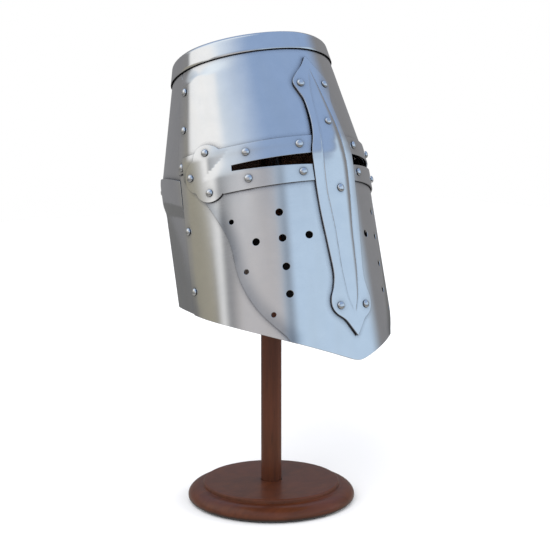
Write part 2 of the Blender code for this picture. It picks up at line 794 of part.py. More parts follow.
def strap_run(drop, inset):
    """A place on the wearer's left run of the strap: drop below the rivet, inset toward the head."""
    run = Vector((STRAP_BEND_X - ANCHOR_X, 0.0, STRAP_BEND_HEIGHT - ANCHOR_HEIGHT)).normalized()
    across = Vector((run.z, 0.0, -run.x))
    return Vector((ANCHOR_X, 0.0, 0.0)) + run * drop + across * inset


def bend_along(path, points):
    """Maps (distance along the path, across, depth) to the strap frame; the path lies in y = 0."""
    steps = [(b - a).length for a, b in zip(path, path[1:])]
    marks = np.concatenate([[0.0], np.cumsum(steps)])
    places = np.array([tuple(place) for place in path])
    tangents = np.gradient(places, marks, axis=0)
    tangents /= np.linalg.norm(tangents, axis=1)[:, None]
    sides = np.column_stack([tangents[:, 2], 0 * marks, -tangents[:, 0]])
    spot = np.column_stack([np.interp(points[:, 0], marks, places[:, axis]) for axis in range(3)])
    side = np.column_stack([np.interp(points[:, 0], marks, sides[:, axis]) for axis in range(3)])
    spot += side * points[:, 2:3]
    spot[:, 1] -= points[:, 1]
    return spot


def path_length(path):
    return sum((b - a).length for a, b in zip(path, path[1:]))


def rounded_end(centre, direction, count=7):
    """Half circle of the strap's width, from one edge to the other."""
    radius = STRAP_WIDTH / 2
    angles = np.linspace(-math.pi / 2, math.pi / 2, count)
    return [(centre + direction * radius * math.cos(a), direction * radius * math.sin(a)) for a in angles]


def make_strap(name, path, outline, holes, pivot, surface, pitch):
    mesh = flat_sheet(outline, holes, STRAP_THICKNESS)
    slice_mesh(mesh, every(pitch, 0.0, path_length(path)))
    map_mesh(mesh, lambda points: bend_along(path, points))
    return add_object(name, mesh, pivot, surface)


def slot(centre, length, width):
    return [(centre - length / 2, -width / 2), (centre + length / 2, -width / 2),
            (centre + length / 2, width / 2), (centre - length / 2, width / 2)]


def make_buckle_strap(pivot, surface):
    """Short strap: from the left rivet down to the buckle bar, round it and back up."""
    bar_drop = ANCHOR_HEIGHT - BUCKLE_HEIGHT
    path = [strap_run(-STRAP_TAIL, 0.0), strap_run(0.0, 0.0)]
    path += [strap_run(drop, 0.0) for drop in np.linspace(0.006, bar_drop, 4)]
    for turn in np.radians(np.linspace(22.5, 180, 8)):
        path.append(strap_run(bar_drop + BUCKLE_INSET * math.sin(turn),
                              BUCKLE_INSET * (1 - math.cos(turn))))
    path.append(strap_run(bar_drop - 0.008, 2 * BUCKLE_INSET))
    end = path_length(path)
    half = STRAP_WIDTH / 2
    outline = [*rounded_end(STRAP_TAIL, -1), (end, -half), (end, half)]
    fold = STRAP_TAIL + bar_drop + math.pi * BUCKLE_INSET / 2
    holes = [circle((STRAP_TAIL, 0.0), STRAP_HOLE, 8), slot(fold, *FOLD_SLOT)]
    make_strap("buckle_strap", path, outline, holes, pivot, surface, 0.002)


def make_long_strap(pivot, surface):
    """Long strap: from the right rivet, under the chin, and up through the buckle."""
    path = [strap_run(drop, 0.0) for drop in np.linspace(-STRAP_TAIL, 0.078, 7)]
    path = [Vector((-place.x, place.y, place.z)) for place in path]
    bend_drop = STRAP_BEND_HEIGHT - ANCHOR_HEIGHT
    for turn in np.radians(np.linspace(0, 180, 25)):
        path.append(Vector((-STRAP_BEND_X * math.cos(turn), 0.0,
                            bend_drop - STRAP_DROP * math.sin(turn))))
    bar_drop = ANCHOR_HEIGHT - BUCKLE_HEIGHT
    far = bar_drop + BUCKLE_REACH
    under = BUCKLE_INSET - BUCKLE_WIRE - STRAP_THICKNESS / 2 - 0.0013
    over = 2 * BUCKLE_INSET + STRAP_THICKNESS + 0.0005
    path += [strap_run(drop, under) for drop in (0.080, 0.070, far + 0.004, far)]
    path += [strap_run(bar_drop + 0.0025, over), strap_run(bar_drop - 0.001, over + 0.0002)]
    path += [strap_run(drop, over + 0.0002) for drop in (0.030, 0.022, 0.014)]
    end = path_length(path) - STRAP_WIDTH / 2
    outline = [*rounded_end(STRAP_TAIL, -1), *rounded_end(end, 1)]
    crossing = path_length(path[:-4]) - 0.0095
    holes = [circle((STRAP_TAIL, 0.0), STRAP_HOLE, 8), slot(crossing, *CROSSING_SLOT)]
    make_strap("chin_strap", path, outline, holes, pivot, surface, 0.005)


def make_buckle(pivot, steel):
    """Wire frame with the prong on its upper bar; the prong's empty stands on that bar."""
    bar_drop = ANCHOR_HEIGHT - BUCKLE_HEIGHT
    upper = strap_run(bar_drop, BUCKLE_INSET)
    lower = strap_run(bar_drop + BUCKLE_REACH, BUCKLE_INSET)
    half, corner = BUCKLE_WIDTH / 2, BUCKLE_CORNER
    along = (lower - upper).normalized()
    frame = []
    for place, side, inner in ((upper, -1, 1), (upper, 1, 1), (lower, 1, -1), (lower, -1, -1)):
        straight = place + Vector((0, side * (half - corner), 0))
        upright = place + Vector((0, side * half, 0)) + along * corner * inner
        middle = (straight + upright) / 2 + (Vector((0, side, 0)) - along * inner) * corner * 0.2
        points = [straight, middle, upright]
        frame += points if side * inner > 0 else points[::-1]
    add_wire("buckle_frame", frame, BUCKLE_WIRE, pivot, steel, cyclic=True)
    hinge = empty("prong_hinge", Matrix.Translation(upper), pivot)
    run = strap_run(1.0, 0.0) - strap_run(0.0, 0.0)
    inward = strap_run(0.0, 1.0) - strap_run(0.0, 0.0)
    loop = BUCKLE_WIRE + PRONG_WIRE + GAP
    tip = run * (BUCKLE_REACH + PRONG_REACH) + inward * loop
    curl = [loop * (math.cos(a) * inward - math.sin(a) * run) for a in np.radians(PRONG_CURL)]
    bent = [*reversed(curl), run * 0.0052 + inward * 0.0022, tip * 0.5 + run * 0.001, tip]
    add_wire("buckle_prong", bent, PRONG_WIRE, hinge, steel)


def make_keeper(pivot, surface):
    """Leather loop that holds the strap's free end against the short strap."""
    middle = ANCHOR_HEIGHT - BUCKLE_HEIGHT - KEEPER_DROP
    low, high = -0.0021, 2 * BUCKLE_INSET + 2 * STRAP_THICKNESS + 0.0012
    half = STRAP_WIDTH / 2 + KEEPER_PLAY
    wall = KEEPER_WALL
    corners = [(-half, low), (half, low), (half, high), (-half, high)]
    outer = [(-half - wall, low - wall), (half + wall, low - wall), (half + wall, high + wall),
             (-half - wall, high + wall)]
    mesh = flat_sheet(outer, [corners], KEEPER_LENGTH)

    def place(points):
        return np.array([strap_run(middle - depth, inset) + Vector((0, across, 0))
                         for across, inset, depth in points])

    map_mesh(mesh, place)
    add_object("strap_keeper", mesh, pivot, surface)


def make_anchor_rivet(name, side, helm, steel):
    """Rivet along X through the liner band and a strap end."""
    inner = ANCHOR_X - 0.0026
    outer = ANCHOR_X + 0.008
    profile = [(0.0, inner - 0.0016), (0.002, inner - 0.0014), (ANCHOR_HEAD, inner), (ANCHOR_SHANK, inner),
               (ANCHOR_SHANK, outer), (0.0, outer)]
    rivet = turned(name, profile[::-1], helm, steel, steps=RIVET_STEPS)
    rivet.matrix_basis = (Matrix.Translation((0.0, STRAP_Y, ANCHOR_HEIGHT))
                          @ Matrix.Rotation(side * math.pi / 2, 4, "Y"))
    return rivet


# --- stand -------------------------------------------------------------------------------------------


def crown_contact():
    """Height of the dome's centre on the post axis, with the pad just under the crown plate."""
    normal = HELM_MATRIX.to_3x3() @ Vector((0, 0, 1))
    inner_face = HELM_MATRIX @ Vector((0, 0, HELM_HEIGHT - SHEET - GAP))
    return (inner_face.dot(normal) - DOME_RADIUS) / normal.z


def arc(centre, radius, start, stop, count):
    angles = np.radians(np.linspace(start, stop, count))
    return [(centre[0] + radius * math.cos(a), centre[1] + radius * math.sin(a)) for a in angles]


def make_stand(wood, felt, leather, steel):
    low = FELT_THICKNESS + GAP
    turned("base_felt", [(0.0, FELT_THICKNESS), (FELT_RADIUS, FELT_THICKNESS), (FELT_RADIUS, 0.0),
                         (0.0, 0.0)], None, felt)
    hole = SCREW_RADIUS + SCREW_PLAY
    socket = POST_RADIUS + SOCKET_PLAY
    recess = low + SCREW_HEAD_DEPTH
    foot = arc((BASE_RADIUS - FOOT_ROUND, low + FOOT_ROUND), FOOT_ROUND, 0, -90, 4)
    ovolo = [(OVOLO_CENTRE[0] + OVOLO_REACH * math.cos(a), OVOLO_CENTRE[1] + OVOLO_RISE * math.sin(a))
             for a in np.radians((85, 65, 45, 25))]
    ledge = [(BASE_TOP_RADIUS + 0.0012, OVOLO_CENTRE[1] + OVOLO_RISE)]
    top = arc((BASE_TOP_RADIUS - TOP_ROUND, BASE_TOP - TOP_ROUND), TOP_ROUND, 90, 0, 4)
    profile = [(socket, BASE_TOP), *top, *ledge, *ovolo, *foot, (SCREW_HEAD_RADIUS + 0.0005, low),
               (SCREW_HEAD_RADIUS + 0.0005, recess), (hole, recess),
               (hole, SOCKET_FLOOR), (socket, SOCKET_FLOOR)]
    turned("stand_base", profile, None, wood, closed=True)
    turned("post_screw", [(0.0, SCREW_TOP), (SCREW_RADIUS, SCREW_TOP - 0.003), (SCREW_RADIUS, recess - GAP),
                          (SCREW_HEAD_RADIUS, recess - GAP), (SCREW_HEAD_RADIUS, low + 0.0004),
                          (0.0, low + 0.0004)], None, steel, steps=16)
    centre = crown_contact()
    wood_dome = DOME_RADIUS - PAD_THICKNESS - GAP
    neck = centre + math.sqrt(wood_dome**2 - HEAD_SIDE_RADIUS**2)
    post_top = neck - 0.004
    turned("stand_post", [(0.0, post_top), (POST_RADIUS, post_top), (POST_RADIUS, SOCKET_FLOOR + GAP),
                          (hole, SOCKET_FLOOR + GAP), (hole, SCREW_TOP + 0.002), (0.0, SCREW_TOP + 0.002)],
           None, wood, steps=32)
    start = math.degrees(math.acos(HEAD_SIDE_RADIUS / wood_dome))
    dome = arc((0.0, centre), wood_dome, 90, start, 7)
    head = [(0.0, dome[0][1]), *dome[1:], (HEAD_SIDE_RADIUS, neck - 0.010), (0.024, neck - 0.016),
            (0.017, neck - HEAD_DEPTH + 0.004), (0.015, neck - HEAD_DEPTH), (socket, neck - HEAD_DEPTH),
            (socket, post_top + GAP), (0.0, post_top + GAP)]
    turned("post_head", head, None, wood)
    edge = math.degrees(math.acos(PAD_RADIUS / DOME_RADIUS))
    over = arc((0.0, centre), DOME_RADIUS, 90, edge, 6)
    under = arc((0.0, centre), DOME_RADIUS - PAD_THICKNESS, edge, 90, 6)
    turned("head_pad", [(0.0, over[0][1]), *over[1:], *under[:-1], (0.0, under[-1][1])], None, leather)


# --- assembly ----------------------------------------------------------------------------------------

SHEETS = {
    "upper_front_plate": sheet(upper_front_outline(), front_lap),
    "upper_rear_plate": sheet(upper_rear_outline(), no_lap, from_rear=True),
    "lower_rear_plate": sheet(lower_rear_outline(), rear_lap, from_rear=True, slices=REAR_SLICES),
    "side_plate_left": sheet(side_outline(), seam_lap),
    "side_plate_right": sheet(other_side(side_outline()), seam_lap),
    "face_plate": sheet(face_outline(), face_lap, holes=breaths()),
    "ocularium_band_left": sheet(band_outline(), band_lap, holes=[band_slit()], slices=SLIT_SLICES),
    "ocularium_band_right": sheet(other_side(band_outline()), band_lap,
                                  holes=[other_side(band_slit())], slices=SLIT_SLICES),
    "nasal_bar": sheet(bar_outline(), bar_lap, thickness=BAR_THICKNESS, ridge=bar_ridge,
                       slices=SLIT_SLICES, pitch=SLICE_GIRTH / 2),
    "liner_band": sheet(liner_outline(), no_lap, holes=anchor_holes(), thickness=LEATHER,
                        base=LINER_OUTER - LEATHER, pitch=LINER_SLICE),
}

clear_scene()
PARTS = new_collection("knight_helmet")
bright_steel = material("satin_steel", (0.62, 0.63, 0.65), 1.0, 0.28)
rivet_steel = material("rivet_steel", (0.72, 0.73, 0.75), 1.0, 0.22)
harness_leather = material("harness_leather", (0.16, 0.07, 0.03), 0.0, 0.6)
lace_cord = material("lace_cord", (0.35, 0.25, 0.14), 0.0, 0.8)
stand_wood = material("stand_wood", (0.16, 0.035, 0.022), 0.0, 0.3)
floor_felt = material("base_felt", (0.05, 0.05, 0.05), 0.0, 0.95)

helm_frame = empty("helm_frame", HELM_MATRIX)
rivets = rivet_places()
for sheet_name in SHEETS:
    if sheet_name != "liner_band":
        make_sheet(sheet_name, helm_frame, bright_steel, rivets)
make_crown(helm_frame, bright_steel)
for rivet_name, rivet_place in rivets.items():
    make_rivet(rivet_name, rivet_place, helm_frame, rivet_steel)
make_liner(helm_frame, harness_leather, lace_cord, rivets)

strap_pivot = empty("strap_pivot", Matrix.Translation((0.0, STRAP_Y, ANCHOR_HEIGHT)), helm_frame)
make_long_strap(strap_pivot, harness_leather)
make_buckle_strap(strap_pivot, harness_leather)
make_keeper(strap_pivot, harness_leather)
make_buckle(strap_pivot, rivet_steel)
make_anchor_rivet("strap_rivet_left", 1, helm_frame, rivet_steel)
make_anchor_rivet("strap_rivet_right", -1, helm_frame, rivet_steel)
make_stand(stand_wood, floor_felt, harness_leather, rivet_steel)
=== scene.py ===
"""The looks of the knight helmet: fine sheet-steel plates, domed rivets, leather, cord and lacquered wood.

Every plate is cut as a flat pattern in (girth, height), sliced fine, bent round the same skull as the CAD
and given the exact normal of its surface. Metres, +Z up, in the CAD's own frame.
"""

import json
import math

import bmesh
import bpy
import numpy as np
from mathutils import Matrix, Vector


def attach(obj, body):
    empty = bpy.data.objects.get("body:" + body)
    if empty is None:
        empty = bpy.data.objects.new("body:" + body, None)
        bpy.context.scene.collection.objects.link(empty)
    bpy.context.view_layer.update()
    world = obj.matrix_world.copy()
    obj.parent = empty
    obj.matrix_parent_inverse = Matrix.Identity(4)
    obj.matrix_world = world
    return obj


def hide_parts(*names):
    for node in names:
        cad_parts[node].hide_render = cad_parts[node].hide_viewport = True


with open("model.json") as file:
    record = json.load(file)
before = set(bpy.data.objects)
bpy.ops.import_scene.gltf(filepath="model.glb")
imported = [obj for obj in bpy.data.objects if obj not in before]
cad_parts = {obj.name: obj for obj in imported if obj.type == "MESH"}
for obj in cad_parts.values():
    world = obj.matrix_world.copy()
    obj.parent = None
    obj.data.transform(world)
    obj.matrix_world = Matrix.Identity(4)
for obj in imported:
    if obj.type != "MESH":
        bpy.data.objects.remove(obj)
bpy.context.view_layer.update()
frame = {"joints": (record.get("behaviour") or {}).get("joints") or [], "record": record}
JOINTS = {joint["name"]: joint for joint in frame["joints"]}

# The skull: half width, reach to the front and reach to the rear at three levels.
HELM_HEIGHT = 0.338
EYE_LEVEL = 0.218
CREASE = 0.004
CHIN_SECTION = np.array((0.109, 0.104, 0.106))
EYE_SECTION = np.array((0.100, 0.109, 0.131))
CROWN_SECTION = np.array((0.080, 0.0795, 0.085))
FRONT_POWER = 1.09
REAR_POWER = 0.97

# Sheet steel. A layer is one sheet and the gap under the next one; GAP parts the other neighbours.
SHEET = 0.0015
GAP = 0.0003
LAYER_GAP = 0.0006
LAYER = SHEET + LAYER_GAP
EDGE_ROUND = 0.0003
ACROSS_PITCH = 0.003
UP_PITCH = 0.006
PATTERN_SCALE = 10.0
CREASE_CUTS = (-0.8, -0.4, 0.1, 0.5, 0.9)
# Width of the band of painted dark reflection and shade beside the face plate's lap edge.
EDGE_SHADE_WIDTH = 0.017

# Lower rim: it climbs from the chin tip, then levels out toward the nape.
RIM_SLOPE = 0.41
RIM_NOSE = 0.006
RIM_BEND = 0.165
RIM_LEVEL = 0.280

# Plate edges.
PLATE_TOP = HELM_HEIGHT - 0.006
SEAM_GIRTH = 0.1725
SEAM_SLOPE = 0.35
SEAM_LAP = 0.018
LAP_START = 0.080
LAP_RUN = 0.056
REAR_LAP_START = 0.040
REAR_LAP_RUN = 0.015
LAP_TOP = 0.300
LAP_END = 0.314
LAP_FADE = 0.012
JOINT_HEIGHT = 0.209
REAR_STRIP = 0.136
EDGE_MARGIN = 0.001
SIDE_PLATE_END = 0.170
SIDE_PLATE_LAP = 0.005
SIDE_PLATE_GAP = 0.0015
REAR_NOTCH_GIRTH = 0.158
REAR_NOTCH_HEIGHT = 0.158
FACE_EDGE = ((0.1605, 0.200), (0.146, 0.188), (0.128, 0.162), (0.113, 0.129), (0.1075, 0.092),
             (0.093, 0.059), (0.066, 0.0265))
TAB_TOP = 0.224
TAB_START = 0.104
TAB_INNER = 0.1365
TAB_STEP_START = 0.102
TAB_STEP = 0.032
SLIT_STEP_TOP = 0.2205
SLIT_STEP = 0.028
BAR_STEP_TOP = 0.262
BAR_STEP = 0.068
BOW_START = 0.016
BOW_END = 0.020
BOW_FADE = 0.035
BOW_LAYERS = 0.45

# Crown plate with its turned-down flange.
FLANGE_DEPTH = 0.020
CROWN_CORNER = 0.004
CROWN_DOME = 0.002
CROWN_CLEARANCE = 0.0003
CROWN_SEGMENTS = 240
CROWN_GIRTH = 0.52
CROWN_RINGS = (0.985, 0.95, 0.88, 0.78, 0.65, 0.5, 0.35, 0.2, 0.08)

# Eye slit and the two bands that frame it.
SLIT_INNER = 0.0245
SLIT_OUTER = 0.101
SLIT_TOP = (0.204, 0.2027)
SLIT_BOTTOM = (0.1927, 0.197)
SLIT_SETBACK = 0.0015
BAND_TOP = 0.2215
BAND_BOTTOM = 0.1765
TREFOIL_CENTRE = (0.126, 0.200)
LOBE_REACH = 0.0118
LOBE_RADIUS = 0.017

# Vertical bar on the face: (half width, height) down its side, and the raised field on it.
BAR_THICKNESS = 0.0022
BAR_SIDE = ((0.000, 0.308), (0.0075, 0.2975), (0.0145, 0.290), (0.0205, 0.2825), (0.0215, 0.277),
            (0.0185, 0.268), (0.0158, 0.259), (0.0158, 0.243), (0.0178, 0.226), (0.0225, 0.207),
            (0.0232, 0.190), (0.0222, 0.150), (0.0190, 0.112), (0.0170, 0.086), (0.0190, 0.072),
            (0.0225, 0.062), (0.0228, 0.053), (0.0190, 0.046), (0.0110, 0.0395), (0.0050, 0.031),
            (0.000, 0.0235))
BAR_FIELD = ((0.000, 0.296), (0.0060, 0.268), (0.0095, 0.237), (0.0138, 0.190), (0.0138, 0.165),
             (0.0104, 0.130), (0.0090, 0.087), (0.0061, 0.061), (0.000, 0.044))
BAR_RIDGE = 0.0022
BAR_GROOVE = 0.0003
BAR_GROOVE_WIDTH = 0.0007
BAR_PITCH = 0.0006
BAR_MARGIN = 0.0007

# Breaths: a cross of large holes and three small ones on each cheek.
BREATH_LINE = 0.0610
BREATH_ROWS = (0.1496, 0.1245, 0.0968, 0.0702)
BREATH_ARM = 0.0255
BREATH_RADIUS = 0.0036
SMALL_BREATHS = ((0.1085, 0.148), (0.0995, 0.0974), (0.0785, 0.0525))
SMALL_BREATH_RADIUS = 0.0025

# Rivets.
HEAD_RADIUS = 0.0037
HEAD_HEIGHT = 0.0025
SHANK_RADIUS = 0.0014
TAIL_RADIUS = 0.0025
TAIL_HEIGHT = 0.0012
RIVET_HOLE = 0.0022
LEATHER_HOLE = 0.0026
ANCHOR_HOLE = 0.0038
RIVET_GAP = 0.00032
RIVET_SEGMENTS = 28
RADIUS_SPREAD = 0.04
HEIGHT_SPREAD = 0.08
BAND_RIVETS = ((0.0336, 0.2137), (0.0855, 0.2132), (0.0336, 0.1860), (0.0855, 0.1866),
               (0.1267, 0.2205), (0.1475, 0.2003), (0.1267, 0.1805))
BAR_RIVETS = ((-0.0143, 0.2776), (0.0143, 0.2776), (0.0, 0.2338), (0.0, 0.1675), (-0.0145, 0.0535),
              (0.0145, 0.0535))
SEAM_RIVETS = ((0.1370, 0.2937), (0.1505, 0.2537), (0.1650, 0.2160), (0.1645, 0.1504),
               (0.1645, 0.0896))
REAR_RIVETS = (0.270, 0.312)
REAR_RIVET_EDGE = 0.0105

# Leather liner: a band riveted inside the skull, and petals gathered by a lace.
LINER_LOW = 0.226
LINER_HIGH = 0.262
LINER_OUTER = -0.0036
LEATHER = 0.0024
LINER_JOIN = 0.003
PETAL_COUNT = 10
PETAL_SPAN = 0.985
PETAL_LOW = 0.249
PETAL_BEND = 0.264
PETAL_THICKNESS = 0.0016
PETAL_CLEARANCE = 0.001
PETAL_TIP = 0.310
PETAL_VALLEY = 0.270
LACE_RADIUS = 0.0010
LACE_WAVE = 0.0064
LACE_HEIGHT = 0.300
LACE_RING = 0.044
LACE_CENTRE_Y = -0.024
LACE_STRANDS = 3
LACE_STEPS = 900
LACE_TWISTS = 90
LACE_SPREAD = 0.0005

# Chin strap, hung on two rivets through the liner band.
STRAP_WIDTH = 0.018
STRAP_THICKNESS = 0.0022
STRAP_Y = -0.015
ANCHOR_X = 0.0845
ANCHOR_HEIGHT = 0.236
STRAP_BEND_X = 0.078
STRAP_BEND_HEIGHT = 0.150
STRAP_DROP = 0.062
BUCKLE_HEIGHT = 0.198
BUCKLE_REACH = 0.020
BUCKLE_WIDTH = 0.026
BUCKLE_WIRE = 0.0015
BUCKLE_INSET = 0.0032
PRONG_WIRE = 0.001
BUCKLE_CORNER = 0.003
STRAP_TAIL = 0.012
STRAP_HOLE = 0.0022
FOLD_SLOT = (0.019, 0.0045)
CROSSING_SLOT = (0.0150, 0.0042)
PRONG_HOLE = 0.0015
PRONG_HOLE_PITCH = 0.011
KEEPER_DROP = 0.015
KEEPER_LENGTH = 0.006
KEEPER_WALL = 0.0015
KEEPER_PLAY = 0.0008
ANCHOR_HEAD = 0.0034
ANCHOR_SHANK = 0.0013
PRONG_REACH = 0.0012
PRONG_CURL = (-55, -10, 40, 90, 140, 190, 235)
STITCH_PITCH = 0.0042
STITCH_LENGTH = 0.0030
STITCH_RADIUS = 0.00035
STITCH_INSET = 0.0022

# Stand.
FELT_RADIUS = 0.084
FELT_THICKNESS = 0.0015
BASE_RADIUS = 0.090
BASE_TOP_RADIUS = 0.0734
BASE_TOP = 0.021
TOP_ROUND = 0.002
FOOT_ROUND = 0.004
OVOLO_CENTRE = (0.0765, 0.0058)
OVOLO_REACH = 0.0135
OVOLO_RISE = 0.0102
SOCKET_FLOOR = 0.0085
POST_RADIUS = 0.011
SCREW_RADIUS = 0.0022
SCREW_HEAD_RADIUS = 0.0045
SCREW_HEAD_DEPTH = 0.0032
SCREW_PLAY = 0.0004
SCREW_TURNS = 18
SCREW_PITCH = 0.0012
SOCKET_PLAY = 0.0002
SCREW_TOP = 0.040
DOME_RADIUS = 0.045
HEAD_SIDE_RADIUS = 0.027
HEAD_DEPTH = 0.026
PAD_THICKNESS = 0.002
PAD_RADIUS = 0.024
TURNED_SEGMENTS = 128

STATIONS = np.linspace(0.0, math.pi, 481)


# --- the helm's own frame ---


def helm_matrix():
    """From the record: the strap swings about the helm's X axis and the prong turns about its Y axis."""
    along_x = Vector(JOINTS["chin_strap_swing"]["axis"]).normalized()
    along_y = Vector(JOINTS["prong_hinge"]["axis"]).normalized()
    turn = Matrix((along_x, along_y, along_x.cross(along_y))).transposed()
    anchor = turn @ Vector((0.0, STRAP_Y, ANCHOR_HEIGHT))
    return Matrix.Translation(Vector(JOINTS["chin_strap_swing"]["pos_m"]) - anchor) @ turn.to_4x4()


HELM = helm_matrix()
HELM_TURN = np.array(HELM.to_3x3())
HELM_PLACE = np.array(HELM.translation)
STRAP_FRAME = HELM @ Matrix.Translation((0.0, STRAP_Y, ANCHOR_HEIGHT))


def to_world(points):
    return points @ HELM_TURN.T + HELM_PLACE


def smooth_step(value):
    value = np.clip(value, 0.0, 1.0)
    return value * value * (3 - 2 * value)


# --- skull surface ---


def section_at(height):
    """Half width, front reach and rear reach of the skull, with a rounded crease at the eyes."""
    drop = np.asarray(height, float) - EYE_LEVEL
    past = np.where(drop > CREASE, drop, np.clip(drop + CREASE, 0, None) ** 2 / (4 * CREASE))
    low = (EYE_SECTION - CHIN_SECTION) / EYE_LEVEL
    high = (CROWN_SECTION - EYE_SECTION) / (HELM_HEIGHT - EYE_LEVEL)
    return [EYE_SECTION[k] + low[k] * drop + (high[k] - low[k]) * past for k in range(3)]


def skull_point(angle, height):
    """Points on the skull: angle 0 is the face's middle line and pi the back's."""
    half_width, front, rear = section_at(height)
    sine, cosine = np.abs(np.sin(angle)), np.cos(angle)
    power = np.where(cosine >= 0, FRONT_POWER, REAR_POWER)
    x = np.sign(np.sin(angle)) * half_width * sine**power
    y = np.where(cosine >= 0, -front, rear) * np.abs(cosine) ** power
    return np.stack([x, y, height + 0 * x], -1)


def skull_girths(height):
    line = skull_point(STATIONS, np.full(len(STATIONS), height))
    return np.concatenate([[0.0], np.cumsum(np.linalg.norm(np.diff(line, axis=0), axis=1))])


LEVEL_STEP = 0.002
LEVELS = np.arange(-2, 174) * LEVEL_STEP
GIRTHS = np.array([skull_girths(level) for level in LEVELS])


def half_girth(height):
    return float(np.interp(height, LEVELS, GIRTHS[:, -1]))


def skull_angle(girth, height, from_rear):
    """Angle of each (girth, height), by linear interpolation between tabled levels."""
    row = np.clip(((height - LEVELS[0]) / LEVEL_STEP).astype(int), 0, len(LEVELS) - 2)
    share = (height - LEVELS[row]) / LEVEL_STEP
    angle = np.zeros(len(girth))
    for number in np.unique(row):
        mine = row == number
        pair = []
        for table in GIRTHS[number:number + 2]:
            if from_rear:
                pair.append(math.pi - np.interp(np.abs(girth[mine]), table[-1] - table[::-1], STATIONS[::-1]))
            else:
                pair.append(np.interp(np.abs(girth[mine]), table, STATIONS))
        angle[mine] = pair[0] * (1 - share[mine]) + pair[1] * share[mine]
    return angle * np.sign(girth) + (math.pi if from_rear else 0.0)


def unit(vectors):
    return vectors / np.maximum(np.linalg.norm(vectors, axis=-1, keepdims=True), 1e-12)


def skull_frame(angle, height, turn=0.03, rise=1e-3):
    """Unit vectors along the girth, up the surface and out of it."""
    along = unit(skull_point(angle + turn, height) - skull_point(angle - turn, height))
    up = skull_point(angle, height + rise) - skull_point(angle, height - rise)
    out = unit(np.cross(along, up))
    return along, np.cross(out, along), out


def bend_round_skull(pattern, normals, rise, ridge, from_rear, thickness):
    """Carries (girth, height, depth) points and their flat normals to the world frame."""
    girth, height, depth = pattern.T
    step = 2e-4
    top = depth > thickness / 2

    def lift(across, up):
        own = np.abs(across)
        reach = np.interp(up, LEVELS, GIRTHS[:, -1]) - own if from_rear else own
        return rise(np.abs(reach), up) + top * ridge(own, up)

    angle = skull_angle(girth, height, from_rear)
    along, up, out = skull_frame(angle, height)
    points = skull_point(angle, height) + out * (depth + lift(girth, height))[:, None]
    lean = (lift(girth + step, height) - lift(girth - step, height)) / (2 * step)
    pitch = (lift(girth, height + step) - lift(girth, height - step)) / (2 * step)
    face = out - along * lean[:, None] - up * pitch[:, None]
    bent = unit(along * normals[:, 0:1] + up * normals[:, 1:2] + face * normals[:, 2:3])
    return to_world(points), bent @ HELM_TURN.T


# --- plate edges and layers ---


def rim(girth):
    start = RIM_SLOPE * (np.hypot(np.minimum(girth, RIM_BEND), RIM_NOSE) - RIM_NOSE)
    past = np.clip(girth - RIM_BEND, 0.0, RIM_LEVEL - RIM_BEND)
    return start + RIM_SLOPE * (past - past**2 / (2 * (RIM_LEVEL - RIM_BEND)))


def rear_edge(girth):
    return rim(girth) + REAR_STRIP


def seam(height):
    return SEAM_GIRTH - SEAM_SLOPE * np.maximum(height - EYE_LEVEL, 0.0)


def seam_lap(girth, height):
    return smooth_step((girth - seam(height) + LAP_START) / LAP_RUN)


def no_lap(girth, height):
    """No lap and no ridge either."""
    return 0.0 * girth


def front_lap(girth, height):
    return seam_lap(girth, height) * smooth_step((LAP_END - height) / LAP_FADE)


def face_lap(girth, height):
    return 1 + seam_lap(girth, height)


def below_slit(height):
    return smooth_step((SLIT_STEP_TOP - height) / SLIT_STEP)


def band_lap(girth, height):
    trefoil = smooth_step((girth - TAB_STEP_START) / TAB_STEP)
    return 1 + np.maximum(below_slit(height), trefoil) + seam_lap(girth, height)


def bar_lap(girth, height):
    """Climbs on to the bands more gently than they do, bowing clear of the crease at the eyes."""
    from_crease = np.abs(height - EYE_LEVEL)
    bow = smooth_step(from_crease / BOW_START) * (1 - smooth_step((from_crease - BOW_END) / BOW_FADE))
    return 1 + smooth_step((BAR_STEP_TOP - height) / BAR_STEP) + BOW_LAYERS * bow


def rear_lap(girth, height):
    return smooth_step((height - rear_edge(girth) + REAR_LAP_START) / REAR_LAP_RUN)


# --- plate outlines, each in (girth, height) ---


def smooth_line(points, count):
    """A Catmull-Rom curve through the points, with count steps between neighbours."""
    ends = [2 * np.array(points[0]) - points[1], *np.array(points), 2 * np.array(points[-1]) - points[-2]]
    line = []
    for before, start, stop, after in zip(ends, ends[1:], ends[2:], ends[3:]):
        for t in np.arange(count) / count:
            line.append(0.5 * (2 * start + (stop - before) * t
                               + (2 * before - 5 * start + 4 * stop - after) * t**2
                               + (3 * start - before - 3 * stop + after) * t**3))
    return [tuple(map(float, point)) for point in [*line, ends[-2]]]


def mirrored(half):
    return [*half, *[(-x, y) for x, y in reversed(half) if x > 1e-6]]


def other_side(outline):
    return [(-x, y) for x, y in reversed(outline)]


def arc(centre, radius, start, stop, count):
    """Points on a circle, between two directions in degrees."""
    angles = np.radians(np.linspace(start, stop, count))
    return [(centre[0] + radius * math.cos(a), centre[1] + radius * math.sin(a)) for a in angles]


def circle(centre, radius, count):
    angles = [2 * math.pi * step / count for step in range(count)]
    return [(centre[0] + radius * math.cos(a), centre[1] + radius * math.sin(a)) for a in angles]


def inside(outline, point):
    crossings = 0
    for (x0, y0), (x1, y1) in zip(outline, outline[1:] + outline[:1]):
        if (y0 > point[1]) != (y1 > point[1]):
            crossings += point[0] < x0 + (point[1] - y0) * (x1 - x0) / (y1 - y0)
    return crossings % 2 == 1


def slit_edge(ends, girth):
    return float(np.interp(girth, (SLIT_INNER, SLIT_OUTER), ends))


def rim_line(start, stop, count):
    return [(float(girth), float(rim(girth))) for girth in np.linspace(start, stop, count)]


def to_rear(points):
    return [(half_girth(height) - girth, height) for girth, height in points]


